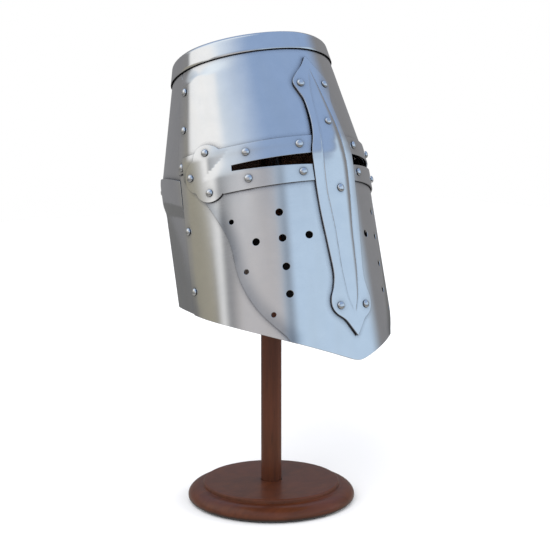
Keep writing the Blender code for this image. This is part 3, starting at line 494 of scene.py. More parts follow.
def rear_line(edge, start, count):
    stop = RIM_LEVEL
    for _ in range(4):
        stop = half_girth(float(edge(stop)))
    line = to_rear([(float(girth), float(edge(girth))) for girth in np.linspace(start, stop, count)])
    return [*line[:-1], (0.0, line[-1][1])]


def upper_front_outline():
    slit = SLIT_TOP[0] + SLIT_SETBACK
    return mirrored([(0.0, PLATE_TOP), (float(seam(PLATE_TOP)), PLATE_TOP), (SEAM_GIRTH, EYE_LEVEL),
                     (SEAM_GIRTH, JOINT_HEIGHT + EDGE_MARGIN), (0.106, JOINT_HEIGHT + EDGE_MARGIN),
                     (TAB_START, slit), (0.0, slit)])


def upper_rear_outline():
    behind = [(float(seam(height)) + EDGE_MARGIN, height) for height in (PLATE_TOP, 0.318, LAP_TOP)]
    front = [(float(seam(height)) - SEAM_LAP, height) for height in np.linspace(LAP_TOP, EYE_LEVEL, 9)]
    low = rear_line(lambda girth: rear_edge(girth) - SEAM_LAP, SEAM_GIRTH - SEAM_LAP, 40)
    return mirrored([(0.0, PLATE_TOP), *to_rear(behind + front), *low])


def lower_rear_outline():
    high = rear_line(rear_edge, SIDE_PLATE_END + SIDE_PLATE_GAP, 40)
    notch = to_rear([(SIDE_PLATE_END + SIDE_PLATE_GAP, REAR_NOTCH_HEIGHT),
                     (REAR_NOTCH_GIRTH, REAR_NOTCH_HEIGHT)])
    return mirrored([*reversed(high), *notch, *rear_line(rim, REAR_NOTCH_GIRTH, 40)])


def face_edge():
    return smooth_line(FACE_EDGE, 10)


def side_outline():
    hidden = [(girth - SIDE_PLATE_LAP, height) for girth, height in face_edge()]
    hidden = [(girth, height) for girth, height in hidden if height > rim(girth) + 0.002]
    start = [(hidden[0][0], JOINT_HEIGHT - EDGE_MARGIN)]
    end = [(SIDE_PLATE_END, JOINT_HEIGHT - EDGE_MARGIN)]
    return start + hidden + rim_line(hidden[-1][0] - EDGE_MARGIN, SIDE_PLATE_END, 24) + end


def face_outline():
    low = slit_edge(SLIT_BOTTOM, SLIT_INNER) - SLIT_SETBACK
    high = slit_edge(SLIT_BOTTOM, SLIT_OUTER) - SLIT_SETBACK
    tab = [(TAB_START, high), (TAB_INNER, high), (TAB_INNER, TAB_TOP), (FACE_EDGE[0][0], TAB_TOP)]
    edge = face_edge()
    return mirrored([(0.0, low), (SLIT_INNER, low), *tab, *edge[:-1], *rim_line(edge[-1][0], 0.0, 24)])


def trefoil_arc(direction, start, stop):
    reach = math.radians(direction)
    centre = (TREFOIL_CENTRE[0] + LOBE_REACH * math.cos(reach),
              TREFOIL_CENTRE[1] + LOBE_REACH * math.sin(reach))
    return arc(centre, LOBE_RADIUS, start, stop, 25)


def beside_bar(low, high):
    """The band's inner edge, a hair's breadth from the bar."""
    widths, heights = zip(*reversed(BAR_SIDE))
    return [(float(np.interp(height, heights, widths)) + BAR_MARGIN, float(height))
            for height in np.linspace(low, high, 6)]


def band_outline():
    """The wearer's left band, forked round the eye slit, with a trefoil at its outer end."""
    meet = math.degrees(math.asin((BAND_TOP - TREFOIL_CENTRE[1] - LOBE_REACH) / LOBE_RADIUS))
    lobes = [*trefoil_arc(90, 180 - meet, 19), *trefoil_arc(0, 71, -71), *trefoil_arc(-90, -19, meet - 180)]
    bottom, top = slit_edge(SLIT_BOTTOM, SLIT_INNER), slit_edge(SLIT_TOP, SLIT_INNER)
    slit = [(SLIT_OUTER, SLIT_BOTTOM[1]), (SLIT_OUTER, SLIT_TOP[1])]
    return [*beside_bar(BAND_BOTTOM, bottom), *slit, *beside_bar(top, BAND_TOP), *lobes[:-1],
            (lobes[-1][0], BAND_BOTTOM)]


def bar_outline():
    return mirrored(smooth_line(BAR_SIDE, 6))


def field_width(height):
    widths, heights = zip(*reversed(BAR_FIELD))
    spread = [np.interp(height + shift, heights, widths) for shift in (-0.006, -0.003, 0.0, 0.003, 0.006)]
    return sum(spread) / len(spread)


def bar_ridge(girth, height):
    """The raised field: a low crown across it and a fine groove along its edge."""
    half = np.maximum(field_width(height), 1e-4)
    across = girth / half
    crown = BAR_RIDGE * np.clip(1 - across**2, 0.0, 1.0) * np.minimum(half / BAR_FIELD[3][0], 1.0)
    groove = np.exp(-(((girth - half) / BAR_GROOVE_WIDTH) ** 2)) * smooth_step(half / 0.003)
    return crown - BAR_GROOVE * groove


def anchor_holes():
    front = float(section_at(ANCHOR_HEIGHT)[1])
    angle = math.acos((-STRAP_Y / front) ** (1 / FRONT_POWER))
    girth = float(np.interp(angle, STATIONS, skull_girths(ANCHOR_HEIGHT)))
    return [circle((side * girth, ANCHOR_HEIGHT), ANCHOR_HOLE, 24) for side in (-1, 1)]


def liner_outline():
    heights = np.linspace(LINER_LOW, LINER_HIGH, 7)
    right = [(half_girth(height) - LINER_JOIN, float(height)) for height in heights]
    return right + [(-girth, height) for girth, height in reversed(right)]


def breaths():
    rows = [(BREATH_LINE, height) for height in BREATH_ROWS]
    arms = [(BREATH_LINE + side * BREATH_ARM, BREATH_ROWS[1]) for side in (-1, 1)]
    holes = []
    for side in (-1, 1):
        holes += [circle((side * girth, height), BREATH_RADIUS, 28) for girth, height in rows + arms]
        holes += [circle((side * girth, height), SMALL_BREATH_RADIUS, 24)
                  for girth, height in SMALL_BREATHS]
    return holes


# --- mesh helpers ---


def mesh_of(work, name):
    """A new mesh from this bmesh, which is then freed."""
    mesh = bpy.data.meshes.new(name)
    work.to_mesh(mesh)
    work.free()
    return mesh


def link(name, data):
    obj = bpy.data.objects.new(name, data)
    bpy.context.scene.collection.objects.link(obj)
    return obj


def curve_mesh(loops, **settings):
    """The mesh of a curve with these closed or open lines, each ((points), cyclic)."""
    curve = bpy.data.curves.new("pattern", "CURVE")
    for name, value in settings.items():
        setattr(curve, name, value)
    for points, cyclic in loops:
        spline = curve.splines.new("POLY")
        spline.points.add(len(points) - 1)
        flat = np.ones((len(points), 4))
        flat[:, :3] = 0.0
        array = np.array(points, float)
        flat[:, :array.shape[1]] = array
        spline.points.foreach_set("co", flat.ravel())
        spline.use_cyclic_u = cyclic
    helper = link("pattern", curve)
    mesh = bpy.data.meshes.new_from_object(helper)
    bpy.data.objects.remove(helper)
    bpy.data.curves.remove(curve)
    work = bmesh.new()
    work.from_mesh(mesh)
    bmesh.ops.remove_doubles(work, verts=work.verts, dist=1e-6)
    bmesh.ops.recalc_face_normals(work, faces=work.faces)
    work.to_mesh(mesh)
    work.free()
    return mesh


def wires(lines, radius, sides=4, cyclic=False):
    """Round wires along these lines, as one mesh."""
    mesh = curve_mesh([(line, cyclic) for line in lines], dimensions="3D", bevel_depth=radius,
                      bevel_resolution=sides, use_fill_caps=not cyclic)
    mesh.shade_smooth()
    mesh.set_sharp_from_angle(angle=math.radians(50))
    return mesh


def flat_sheet(outline, holes, thickness, across, up, edge=EDGE_ROUND):
    """The filled outline with rounded edges, in XY about z = 0, cut at these places along X and Y."""
    scale = PATTERN_SCALE
    loops = [(np.array(loop) * scale, True) for loop in [outline, *holes]]
    mesh = curve_mesh(loops, dimensions="2D", fill_mode="BOTH", extrude=(thickness / 2 - edge) * scale,
                      bevel_depth=edge * scale, bevel_resolution=1, offset=-edge * scale)
    work = bmesh.new()
    work.from_mesh(mesh)
    bmesh.ops.scale(work, vec=(1 / scale,) * 3, verts=work.verts)
    for normal, places in ((Vector((0, 1, 0)), up), (Vector((1, 0, 0)), across)):
        for place in places:
            geometry = [*work.verts, *work.edges, *work.faces]
            bmesh.ops.bisect_plane(work, geom=geometry, dist=1e-6, plane_co=normal * place,
                                   plane_no=normal)
    bmesh.ops.remove_doubles(work, verts=work.verts, dist=1e-6)
    bmesh.ops.triangulate(work, faces=work.faces)
    bmesh.ops.recalc_face_normals(work, faces=work.faces)
    work.to_mesh(mesh)
    work.free()
    return mesh


def every(pitch, low, high):
    return [step * pitch for step in range(math.ceil(low / pitch), math.floor(high / pitch) + 1)]


def read_points(mesh):
    points = np.empty(len(mesh.vertices) * 3)
    mesh.vertices.foreach_get("co", points)
    return points.reshape(-1, 3)


def dress_flat(mesh, thickness):
    """Writes the sheet's UV map in metres and its inner-face mask, and returns its flat normals."""
    points = read_points(mesh)
    normals = np.array([tuple(item.vector) for item in mesh.vertex_normals])
    level = np.abs(points[:, 2]) > thickness / 2 - 1e-6
    normals[level] = 0.0
    normals[level, 2] = np.sign(points[level, 2])
    corners = np.empty(len(mesh.loops), int)
    mesh.loops.foreach_get("vertex_index", corners)
    layer = mesh.uv_layers.new(name="sheet")
    layer.uv.foreach_set("vector", points[corners, :2].ravel())
    inner = mesh.attributes.new("inner", "FLOAT", "FACE")
    facing = np.array([tuple(face.vector) for face in mesh.polygon_normals])
    inner.data.foreach_set("value", (facing[:, 2] < -0.5).astype(np.float32))
    return normals


def write_shape(mesh, points, normals):
    mesh.vertices.foreach_set("co", points.ravel())
    mesh.update()
    mesh.shade_smooth()
    mesh.normals_split_custom_set_from_vertices(normals.tolist())


def bend_sheet(mesh, thickness, place, step=3e-4):
    """Carries a flat sheet through place(points), with its normals from the slope of place."""
    points, normals = read_points(mesh), dress_flat(mesh, thickness)
    slopes = [place(points + shift) - place(points - shift) for shift in np.eye(3) * step]
    bent = (np.cross(slopes[1], slopes[2]) * normals[:, 0:1]
            + np.cross(slopes[2], slopes[0]) * normals[:, 1:2]
            + np.cross(slopes[0], slopes[1]) * normals[:, 2:3])
    write_shape(mesh, place(points), unit(bent))
    return mesh


def turned(profile, segments=TURNED_SEGMENTS, closed=False, matrix=None, wobble=None):
    """A turned solid: the profile in (radius, height) swept round Z; a zero radius is a pole."""
    work = bmesh.new()
    rings = []
    for radius, height in profile:
        if radius < 1e-9:
            rings.append([work.verts.new((0.0, 0.0, height))] * segments)
            continue
        turn = 2 * math.pi / segments
        rings.append([work.verts.new((radius * math.cos(step * turn), radius * math.sin(step * turn), height))
                      for step in range(segments)])
    pairs = list(zip(rings, rings[1:])) + ([(rings[-1], rings[0])] if closed else [])
    for low, high in pairs:
        for step in range(segments):
            after = (step + 1) % segments
            corners = dict.fromkeys((low[step], low[after], high[after], high[step]))
            if len(corners) > 2:
                work.faces.new(corners)
    if wobble:
        for vertex in work.verts:
            vertex.co = wobble(vertex.co)
    if matrix:
        bmesh.ops.transform(work, matrix=matrix, verts=work.verts)
    bmesh.ops.recalc_face_normals(work, faces=work.faces)
    mesh = mesh_of(work, "turned")
    mesh.shade_smooth()
    mesh.set_sharp_from_angle(angle=math.radians(38))
    return mesh


def add_detail(name, mesh, surface, body):
    """A fine piece that no single CAD node stands for, such as a row of stitches."""
    obj = link(name, mesh)
    mesh.name = name
    mesh.materials.append(LOOKS[surface])
    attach(obj, body)
    return obj


def add_piece(node, mesh, surface):
    """The fine piece that stands for a CAD node and rides on its body."""
    obj = add_detail("fine_" + node, mesh, surface, BODY[node])
    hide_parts(node)


# --- sheets ---


def sheet(outline, lap, holes=(), from_rear=False, thickness=SHEET, ridge=no_lap, base=-SHEET,
          across=ACROSS_PITCH, up=UP_PITCH):
    return {"outline": outline, "holes": list(holes), "from_rear": from_rear, "thickness": thickness,
            "ridge": ridge, "across": across, "up": up,
            "rise": lambda girth, height: base + LAYER * lap(girth, height)}


def on_pattern(place, from_rear):
    girth, height = place
    if not from_rear:
        return place
    return (-math.copysign(half_girth(height) - abs(girth), girth), height)


def write_edge_shade(mesh, pattern):
    """Mask of the painted dark reflection and shade beside the face plate's rear edges: 1 on the edge,
    falling to 0 at its set width from it.
    """
    edge = np.array(face_edge())
    away = [np.hypot(edge[:, 0] - abs(girth), edge[:, 1] - height).min() for girth, height, _ in pattern]
    edge_shade = mesh.attributes.new("edge_shade", "FLOAT", "POINT")
    edge_shade.data.foreach_set("value", smooth_step(1 - np.array(away) / EDGE_SHADE_WIDTH).astype(np.float32))


def make_sheet(name, surface, places):
    cut = SHEETS[name]
    outline, from_rear, thickness = cut["outline"], cut["from_rear"], cut["thickness"]
    spots = [on_pattern(place, from_rear) for place in places.values()]
    bore = LEATHER_HOLE if name == "liner_band" else RIVET_HOLE
    holes = cut["holes"] + [circle(spot, bore, 20) for spot in spots if inside(outline, spot)]
    girths, heights = zip(*outline)
    up = every(cut["up"], min(heights), max(heights))
    up += [EYE_LEVEL + shift * CREASE for shift in CREASE_CUTS]
    mesh = flat_sheet(outline, holes, thickness, every(cut["across"], min(girths), max(girths)), up)
    normals = dress_flat(mesh, thickness)
    pattern = read_points(mesh)
    # The face plate carries the mask of painted dark reflection and shade beside its lap edge.
    if name == "face_plate":
        write_edge_shade(mesh, pattern)
    pattern[:, 2] += thickness / 2
    write_shape(mesh, *bend_round_skull(pattern, normals, cut["rise"], cut["ridge"], from_rear, thickness))
    add_piece(name, mesh, surface)


def rivet_places():
    """Name and (girth from the face, height) of every rivet through the plates."""
    places = {}
    for side, sign in (("left", 1), ("right", -1)):
        for number, (girth, height) in enumerate(BAND_RIVETS, 1):
            places[f"rivet_band_{side}_{number}"] = (sign * girth, height)
        for number, (girth, height) in enumerate(SEAM_RIVETS, 1):
            places[f"rivet_seam_{side}_{number}"] = (sign * girth, height)
        for number, girth in enumerate(REAR_RIVETS, 1):
            height = float(rear_edge(girth)) - REAR_RIVET_EDGE
            places[f"rivet_rear_{side}_{number}"] = (sign * girth, height)
    for number, place in enumerate(BAR_RIVETS, 1):
        places[f"rivet_bar_{number}"] = place
    return places


def on_skull(girth, height):
    """World point and outward unit vector of the skull there."""
    flat = np.array([girth]), np.array([height])
    angle = skull_angle(*flat, False)
    out = skull_frame(angle, flat[1])[2]
    point = skull_point(angle, flat[1])
    return Vector(to_world(point[0])), Vector(out[0] @ HELM_TURN.T)


def make_rivet(name, place, seed):
    """A hand-set rivet: a slightly uneven dome outside, the shank, and a hammered tail inside."""
    girth, height = place
    inner, outer = [], []
    for cut in SHEETS.values():
        if inside(cut["outline"], on_pattern(place, cut["from_rear"])):
            spot = np.array([abs(girth)]), np.array([height])
            base = float(cut["rise"](*spot)[0])
            inner.append(base)
            outer.append(base + cut["thickness"] + float(cut["ridge"](*spot)[0]))
    low, high = min(inner) - RIVET_GAP, max(outer) + RIVET_GAP
    chance = np.random.default_rng(seed)
    radius = HEAD_RADIUS * (1 + RADIUS_SPREAD * chance.uniform(-1, 1))
    top = HEAD_HEIGHT * (1 + HEIGHT_SPREAD * chance.uniform(-1, 1))
    bend = np.radians(np.linspace(0, 84, 9))
    dome = [(0.0, high + top)]
    dome += [(radius * math.sin(a) ** 0.92, high + top * (0.12 + 0.88 * math.cos(a))) for a in bend[1:]]
    profile = [*dome, (radius * 1.005, high + top * 0.1), (radius * 0.985, high), (SHANK_RADIUS, high),
               (SHANK_RADIUS, low), (TAIL_RADIUS * 0.97, low), (TAIL_RADIUS, low - TAIL_HEIGHT * 0.35),
               (TAIL_RADIUS * 0.86, low - TAIL_HEIGHT * 0.8), (TAIL_RADIUS * 0.5, low - TAIL_HEIGHT),
               (0.0, low - TAIL_HEIGHT)]
    phase = chance.uniform(0, 2 * math.pi)

    def wobble(co):
        turn = math.atan2(co.y, co.x)
        swell = 1 + 0.018 * math.sin(2 * turn + phase) + 0.012 * math.sin(3 * turn - 2 * phase)
        return Vector((co.x * swell, co.y * swell, co.z))

    point, out = on_skull(girth, height)
    matrix = Matrix.Translation(point) @ out.to_track_quat("Z", "Y").to_matrix().to_4x4()
    add_piece(name, turned(profile, RIVET_SEGMENTS, matrix=matrix, wobble=wobble), "rivet_steel")


def make_crown():
    """The flat top: level rings of the skull section, lofted, with a turned-down rounded flange."""
    outer = CROWN_CLEARANCE + SHEET
    foot, corner = HELM_HEIGHT - FLANGE_DEPTH, HELM_HEIGHT - CROWN_CORNER
    rings = [(foot, outer - EDGE_ROUND), (foot + EDGE_ROUND * 0.4, outer - EDGE_ROUND * 0.4),
             (foot + EDGE_ROUND, outer)]
    rings += [(float(height), outer) for height in np.linspace(foot, corner, 6)[1:]]
    for turn in np.radians(np.linspace(10, 90, 9)):
        rings.append((corner + CROWN_CORNER * math.sin(turn), outer - CROWN_CORNER * (1 - math.cos(turn))))
    angles = np.linspace(0, 2 * math.pi, CROWN_SEGMENTS, endpoint=False)
    loops, marks, run = [], [], 0.0
    for height, offset in rings:
        level = np.full(CROWN_SEGMENTS, min(height, HELM_HEIGHT - 1e-3))
        points = skull_point(angles, level) + skull_frame(angles, level)[2] * [[1, 1, 0]] * offset
        points[:, 2] = height
        loops.append(points)
    for share in CROWN_RINGS:
        points = loops[len(rings) - 1] * [[share, share, 1]]
        points[:, 2] = HELM_HEIGHT + CROWN_DOME * (1 - share**2)
        loops.append(points)
    for number, points in enumerate(loops):
        run += float(np.linalg.norm(points[0] - loops[number - 1][0])) if number else 0.0
        marks.append(run)
    work = bmesh.new()
    layer = work.loops.layers.uv.new("sheet")
    verts = [[work.verts.new(point) for point in to_world(points)] for points in loops]
    pole = work.verts.new(to_world(np.array((0, 0, HELM_HEIGHT + CROWN_DOME))))
    pitch = CROWN_GIRTH / CROWN_SEGMENTS
    for number, (low, high) in enumerate(zip(verts, verts[1:])):
        for step in range(CROWN_SEGMENTS):
            after = (step + 1) % CROWN_SEGMENTS
            face = work.faces.new((low[step], low[after], high[after], high[step]))
            spots = ((step, number), (step + 1, number), (step + 1, number + 1), (step, number + 1))
            for corner_loop, (across, ring) in zip(face.loops, spots):
                corner_loop[layer].uv = (across * pitch, foot + marks[ring])
    for step in range(CROWN_SEGMENTS):
        face = work.faces.new((verts[-1][step], verts[-1][(step + 1) % CROWN_SEGMENTS], pole))
        for corner_loop in face.loops:
            corner_loop[layer].uv = (step * pitch, foot + marks[-1])
    bmesh.ops.recalc_face_normals(work, faces=work.faces)
    mesh = mesh_of(work, "crown")
    mesh.shade_smooth()
    helper = link("crown", mesh)
    wall = helper.modifiers.new("sheet", "SOLIDIFY")
    wall.thickness = SHEET
    wall.offset = -1
    shell = bpy.data.meshes.new_from_object(helper.evaluated_get(bpy.context.evaluated_depsgraph_get()))
    bpy.data.objects.remove(helper)
    centre = Vector(to_world(np.array((0, 0, HELM_HEIGHT * 0.8))))
    shell.shade_smooth()
    shell.set_sharp_from_angle(angle=math.radians(40))
    inner = shell.attributes.new("inner", "FLOAT", "FACE")
    inner.data.foreach_set("value", [float((face.center - centre).dot(face.normal) < 0)
                                     for face in shell.polygons])
    add_piece("crown_plate", shell, "satin_steel")


# --- liner ---


def petal_outline():
    """Petal strip in (share of the girth from -1 to 1, height along the leather)."""
    points = [(-PETAL_SPAN, PETAL_LOW), (PETAL_SPAN, PETAL_LOW)]
    pitch = 2 * PETAL_SPAN / PETAL_COUNT
    for number in range(PETAL_COUNT):
        middle = PETAL_SPAN - number * pitch - pitch / 2
        half = smooth_line(((0.38, PETAL_VALLEY), (0.27, (PETAL_VALLEY + PETAL_TIP) / 2 - 0.003),
                            (0.14, PETAL_TIP - 0.006), (0.07, PETAL_TIP - 0.001), (0.0, PETAL_TIP)), 4)
        points += [(middle + shift * pitch, height) for shift, height in half]
        points += [(middle - shift * pitch, height) for shift, height in reversed(half[:-1])]
    return points


def bend_petals(points):
    """Carries the strip up the liner band's inner face, then leans it in to the lace ring."""
    share, height, depth = points.T
    angles = share * math.pi
    low = np.minimum(height, PETAL_BEND)
    inset = LINER_OUTER - LEATHER - PETAL_CLEARANCE - PETAL_THICKNESS / 2 + depth
    wall = skull_point(angles, low) + skull_frame(angles, low)[2] * inset[:, None]
    ring = np.stack([(LACE_RING + depth) * np.sin(angles),
                     LACE_CENTRE_Y - (LACE_RING + depth) * np.cos(angles), LACE_HEIGHT + depth], -1)
    lean = (np.maximum(height - PETAL_BEND, 0) / (LACE_HEIGHT - PETAL_BEND))[:, None]
    return to_world(wall * (1 - lean) + ring * lean)


def make_liner(places):
    make_sheet("liner_band", "harness_leather", places)
    stretch = 0.3
    outline = [(share * stretch, height) for share, height in petal_outline()]
    heights = every(0.004, PETAL_LOW, PETAL_TIP)
    mesh = flat_sheet(outline, [], PETAL_THICKNESS, every(0.0035, -stretch, stretch), heights)
    bend_sheet(mesh, PETAL_THICKNESS, lambda points: bend_petals(points / [[stretch, 1.0, 1.0]]))
    add_piece("liner_petals", mesh, "harness_leather")
    lines = []
    for strand in range(LACE_STRANDS):
        line = []
        for angle in np.linspace(-math.pi, math.pi, LACE_STEPS, endpoint=False):
            radius = LACE_RING + LACE_WAVE * math.cos(PETAL_COUNT / 2 * angle / PETAL_SPAN - math.pi / 2)
            twist = LACE_TWISTS * angle + strand * 2 * math.pi / LACE_STRANDS
            radius += LACE_SPREAD * math.cos(twist)
            line.append((radius * math.sin(angle), LACE_CENTRE_Y - radius * math.cos(angle),
                         LACE_HEIGHT + LACE_SPREAD * math.sin(twist)))
        lines.append(line)
    mesh = wires(lines, LACE_RADIUS * 0.52, sides=1, cyclic=True)
    mesh.transform(HELM)
    add_piece("liner_lace", mesh, "lace_cord")


# --- chin strap ---


def strap_run(drop, inset):
    """A place on the wearer's left run of the strap: drop below the rivet, inset toward the head."""
    run = Vector((STRAP_BEND_X - ANCHOR_X, 0.0, STRAP_BEND_HEIGHT - ANCHOR_HEIGHT)).normalized()
    across = Vector((run.z, 0.0, -run.x))
    return Vector((ANCHOR_X, 0.0, 0.0)) + run * drop + across * inset


def path_length(path):
    return sum((b - a).length for a, b in zip(path, path[1:]))


def path_frame(path):
    """The path resampled and eased at its corners: marks, places and side vectors."""
    steps = [(b - a).length for a, b in zip(path, path[1:])]
    marks = np.concatenate([[0.0], np.cumsum(steps)])
    fine = np.linspace(0.0, marks[-1], int(marks[-1] / 0.0005))
    places = np.array([tuple(place) for place in path])
    line = np.column_stack([np.interp(fine, marks, places[:, axis]) for axis in range(3)])
    for _ in range(3):
        line[1:-1] = (line[:-2] + line[1:-1] + line[2:]) / 3
    tangents = np.gradient(line, fine, axis=0)
    kernel = np.ones(5) / 5
    for axis in range(3):
        padded = np.pad(tangents[:, axis], 2, "edge")
        tangents[:, axis] = np.convolve(padded, kernel, "valid")
    tangents = unit(tangents)
    return fine, line, np.column_stack([tangents[:, 2], 0 * fine, -tangents[:, 0]])


def bend_along(run, points):
    """Maps (distance along the path, across, depth) to the world frame."""
    fine, line, sides = run
    spot = np.column_stack([np.interp(points[:, 0], fine, line[:, axis]) for axis in range(3)])
    side = np.column_stack([np.interp(points[:, 0], fine, sides[:, axis]) for axis in range(3)])
    beyond = points[:, 0] - np.clip(points[:, 0], fine[0], fine[-1])
    heading = unit(np.column_stack([-side[:, 2], 0 * beyond, side[:, 0]]))
    spot = spot + side * points[:, 2:3] + heading * beyond[:, None]
    spot[:, 1] -= points[:, 1]
    return spot @ np.array(STRAP_FRAME.to_3x3()).T + np.array(STRAP_FRAME.translation)


def rounded_end(centre, direction, count=25):
    radius = STRAP_WIDTH / 2
    angles = np.linspace(-math.pi / 2, math.pi / 2, count)
    return [(centre + direction * radius * math.cos(a), direction * radius * math.sin(a)) for a in angles]


def slot(centre, length, width):
    """A punched slot with round ends."""
    radius, reach = width / 2, (length - width) / 2
    right = [(centre + reach + radius * math.cos(a), radius * math.sin(a))
             for a in np.linspace(-math.pi / 2, math.pi / 2, 13)]
    return right + [(2 * centre - x, -y) for x, y in right]


def stitch_rows(run, start, stop):
    """Saddle stitches along both edges: short round threads that dip into the strap's outer face."""
    edge, depth = STRAP_WIDTH / 2 - STITCH_INSET, -STRAP_THICKNESS / 2
    lines = []
    for across in (edge, -edge):
        for along in np.arange(start, stop - STITCH_LENGTH, STITCH_PITCH):
            shares = np.linspace(0, 1, 7)
            flat = np.column_stack([along + STITCH_LENGTH * shares, 0 * shares + across,
                                    depth - math.copysign(0.0005, depth) * (2 * shares - 1) ** 4])
            lines.append(bend_along(run, flat))
    return wires(lines, STITCH_RADIUS, sides=1)


def make_strap(name, path, outline, holes, stitched_to):
    """One strap along its path, with its rivet hole and its stitches below the rivet."""
    run = path_frame(path)
    rivet_hole = circle((STRAP_TAIL, 0.0), STRAP_HOLE, 20)
    mesh = flat_sheet(outline, [rivet_hole, *holes], STRAP_THICKNESS, every(0.0012, -0.01, path_length(path)),
                      every(0.003, -STRAP_WIDTH / 2, STRAP_WIDTH / 2), edge=0.0005)
    bend_sheet(mesh, STRAP_THICKNESS, lambda points: bend_along(run, points))
    add_piece(name, mesh, "harness_leather")
    stitches = stitch_rows(run, STRAP_TAIL + 0.006, stitched_to)
    add_detail(name + "_stitches", stitches, "lace_cord", "chin_strap")


def make_buckle_strap():
    """Short strap: from the left rivet down to the buckle bar, round it and back up."""
    bar_drop = ANCHOR_HEIGHT - BUCKLE_HEIGHT
    path = [strap_run(-STRAP_TAIL, 0.0), strap_run(0.0, 0.0)]
    path += [strap_run(drop, 0.0) for drop in np.linspace(0.006, bar_drop, 4)]
    for turn in np.radians(np.linspace(11.25, 180, 16)):
        path.append(strap_run(bar_drop + BUCKLE_INSET * math.sin(turn),
                              BUCKLE_INSET * (1 - math.cos(turn))))
    path.append(strap_run(bar_drop - 0.008, 2 * BUCKLE_INSET))
    end, half = path_length(path), STRAP_WIDTH / 2
    fold = STRAP_TAIL + bar_drop + math.pi * BUCKLE_INSET / 2
    make_strap("buckle_strap", path, [*rounded_end(STRAP_TAIL, -1), (end, -half), (end, half)],
               [slot(fold, *FOLD_SLOT)], STRAP_TAIL + 0.026)


def make_long_strap():
    """Long strap: from the right rivet, under the chin, and up through the buckle."""
    path = [strap_run(drop, 0.0) for drop in np.linspace(-STRAP_TAIL, 0.078, 7)]
    path = [Vector((-place.x, place.y, place.z)) for place in path]
    bend_drop = STRAP_BEND_HEIGHT - ANCHOR_HEIGHT
    for turn in np.radians(np.linspace(0, 180, 73)):
        path.append(Vector((-STRAP_BEND_X * math.cos(turn), 0.0,
                            bend_drop - STRAP_DROP * math.sin(turn))))
    bar_drop = ANCHOR_HEIGHT - BUCKLE_HEIGHT
    far = bar_drop + BUCKLE_REACH
    under = BUCKLE_INSET - BUCKLE_WIRE - STRAP_THICKNESS / 2 - 0.0013
    over = 2 * BUCKLE_INSET + STRAP_THICKNESS + 0.0005
    path += [strap_run(drop, under) for drop in (0.080, 0.070, far + 0.004, far)]
    path += [strap_run(bar_drop + 0.0025, over), strap_run(bar_drop - 0.001, over + 0.0002)]
    path += [strap_run(drop, over + 0.0002) for drop in (0.030, 0.022, 0.014)]
    end = path_length(path) - STRAP_WIDTH / 2
    crossing = path_length(path[:-4]) - 0.0095
    holes = [slot(crossing, *CROSSING_SLOT)]
    holes += [circle((crossing - 0.022 - PRONG_HOLE_PITCH * step, 0.0), PRONG_HOLE, 16) for step in range(4)]
    make_strap("chin_strap", path, [*rounded_end(STRAP_TAIL, -1), *rounded_end(end, 1)], holes,
               crossing - 0.040)


def make_buckle():
    """Wire frame and prong."""
    bar_drop = ANCHOR_HEIGHT - BUCKLE_HEIGHT
    upper = strap_run(bar_drop, BUCKLE_INSET)
    lower = strap_run(bar_drop + BUCKLE_REACH, BUCKLE_INSET)
    half, corner = BUCKLE_WIDTH / 2, BUCKLE_CORNER
    along = (lower - upper).normalized()
    frame_line = []
    for place, side, inner in ((upper, -1, 1), (upper, 1, 1), (lower, 1, -1), (lower, -1, -1)):
        centre = place + Vector((0, side * (half - corner), 0)) + along * corner * inner
        turns = np.linspace(0, math.pi / 2, 9)
        points = [centre - along * inner * corner * math.cos(a) + Vector((0, side, 0)) * corner * math.sin(a)
                  for a in turns]
        frame_line += points if side * inner > 0 else points[::-1]
    mesh = wires([[tuple(point) for point in frame_line]], BUCKLE_WIRE, sides=5, cyclic=True)
    mesh.transform(STRAP_FRAME)
    add_piece("buckle_frame", mesh, "rivet_steel")
    run = strap_run(1.0, 0.0) - strap_run(0.0, 0.0)
    inward = strap_run(0.0, 1.0) - strap_run(0.0, 0.0)
    loop = BUCKLE_WIRE + PRONG_WIRE + 0.0003
    curl = [loop * (math.cos(a) * inward - math.sin(a) * run)
            for a in np.radians(PRONG_CURL)]
    tip = run * (BUCKLE_REACH + PRONG_REACH) + inward * loop
    bent = [*reversed(curl), run * 0.0052 + inward * 0.0022, tip * 0.5 + run * 0.001, tip]
    line = smooth_line([tuple(upper + place) for place in bent], 6)
    mesh = wires([line], PRONG_WIRE, sides=5)
    mesh.transform(STRAP_FRAME)
    add_piece("buckle_prong", mesh, "rivet_steel")


def make_keeper():
    """Leather loop that holds the strap's free end against the short strap."""
    middle = ANCHOR_HEIGHT - BUCKLE_HEIGHT - KEEPER_DROP
    low, high = -0.0021, 2 * BUCKLE_INSET + 2 * STRAP_THICKNESS + 0.0012
    half = STRAP_WIDTH / 2 + KEEPER_PLAY

    def box(grow, ease):
        line = []
        for x, y, turn in ((half, low, -90), (half, high, 0), (-half, high, 90), (-half, low, 180)):
            centre = (x + math.copysign(grow - ease, x), y + (grow - ease) * (1 if y > 0 else -1))
            line += arc(centre, ease, turn, turn + 90, 7)
        return line

    mesh = flat_sheet(box(KEEPER_WALL, 0.002), [box(0.0, 0.0004)], KEEPER_LENGTH,
                      every(0.002, -0.02, 0.02), [], edge=0.0004)

    def place(points):
        spots = [strap_run(middle - depth, inset) + Vector((0, across, 0))
                 for across, inset, depth in points]
        return np.array([tuple(STRAP_FRAME @ spot) for spot in spots])

    bend_sheet(mesh, KEEPER_LENGTH, place)
    add_piece("strap_keeper", mesh, "harness_leather")


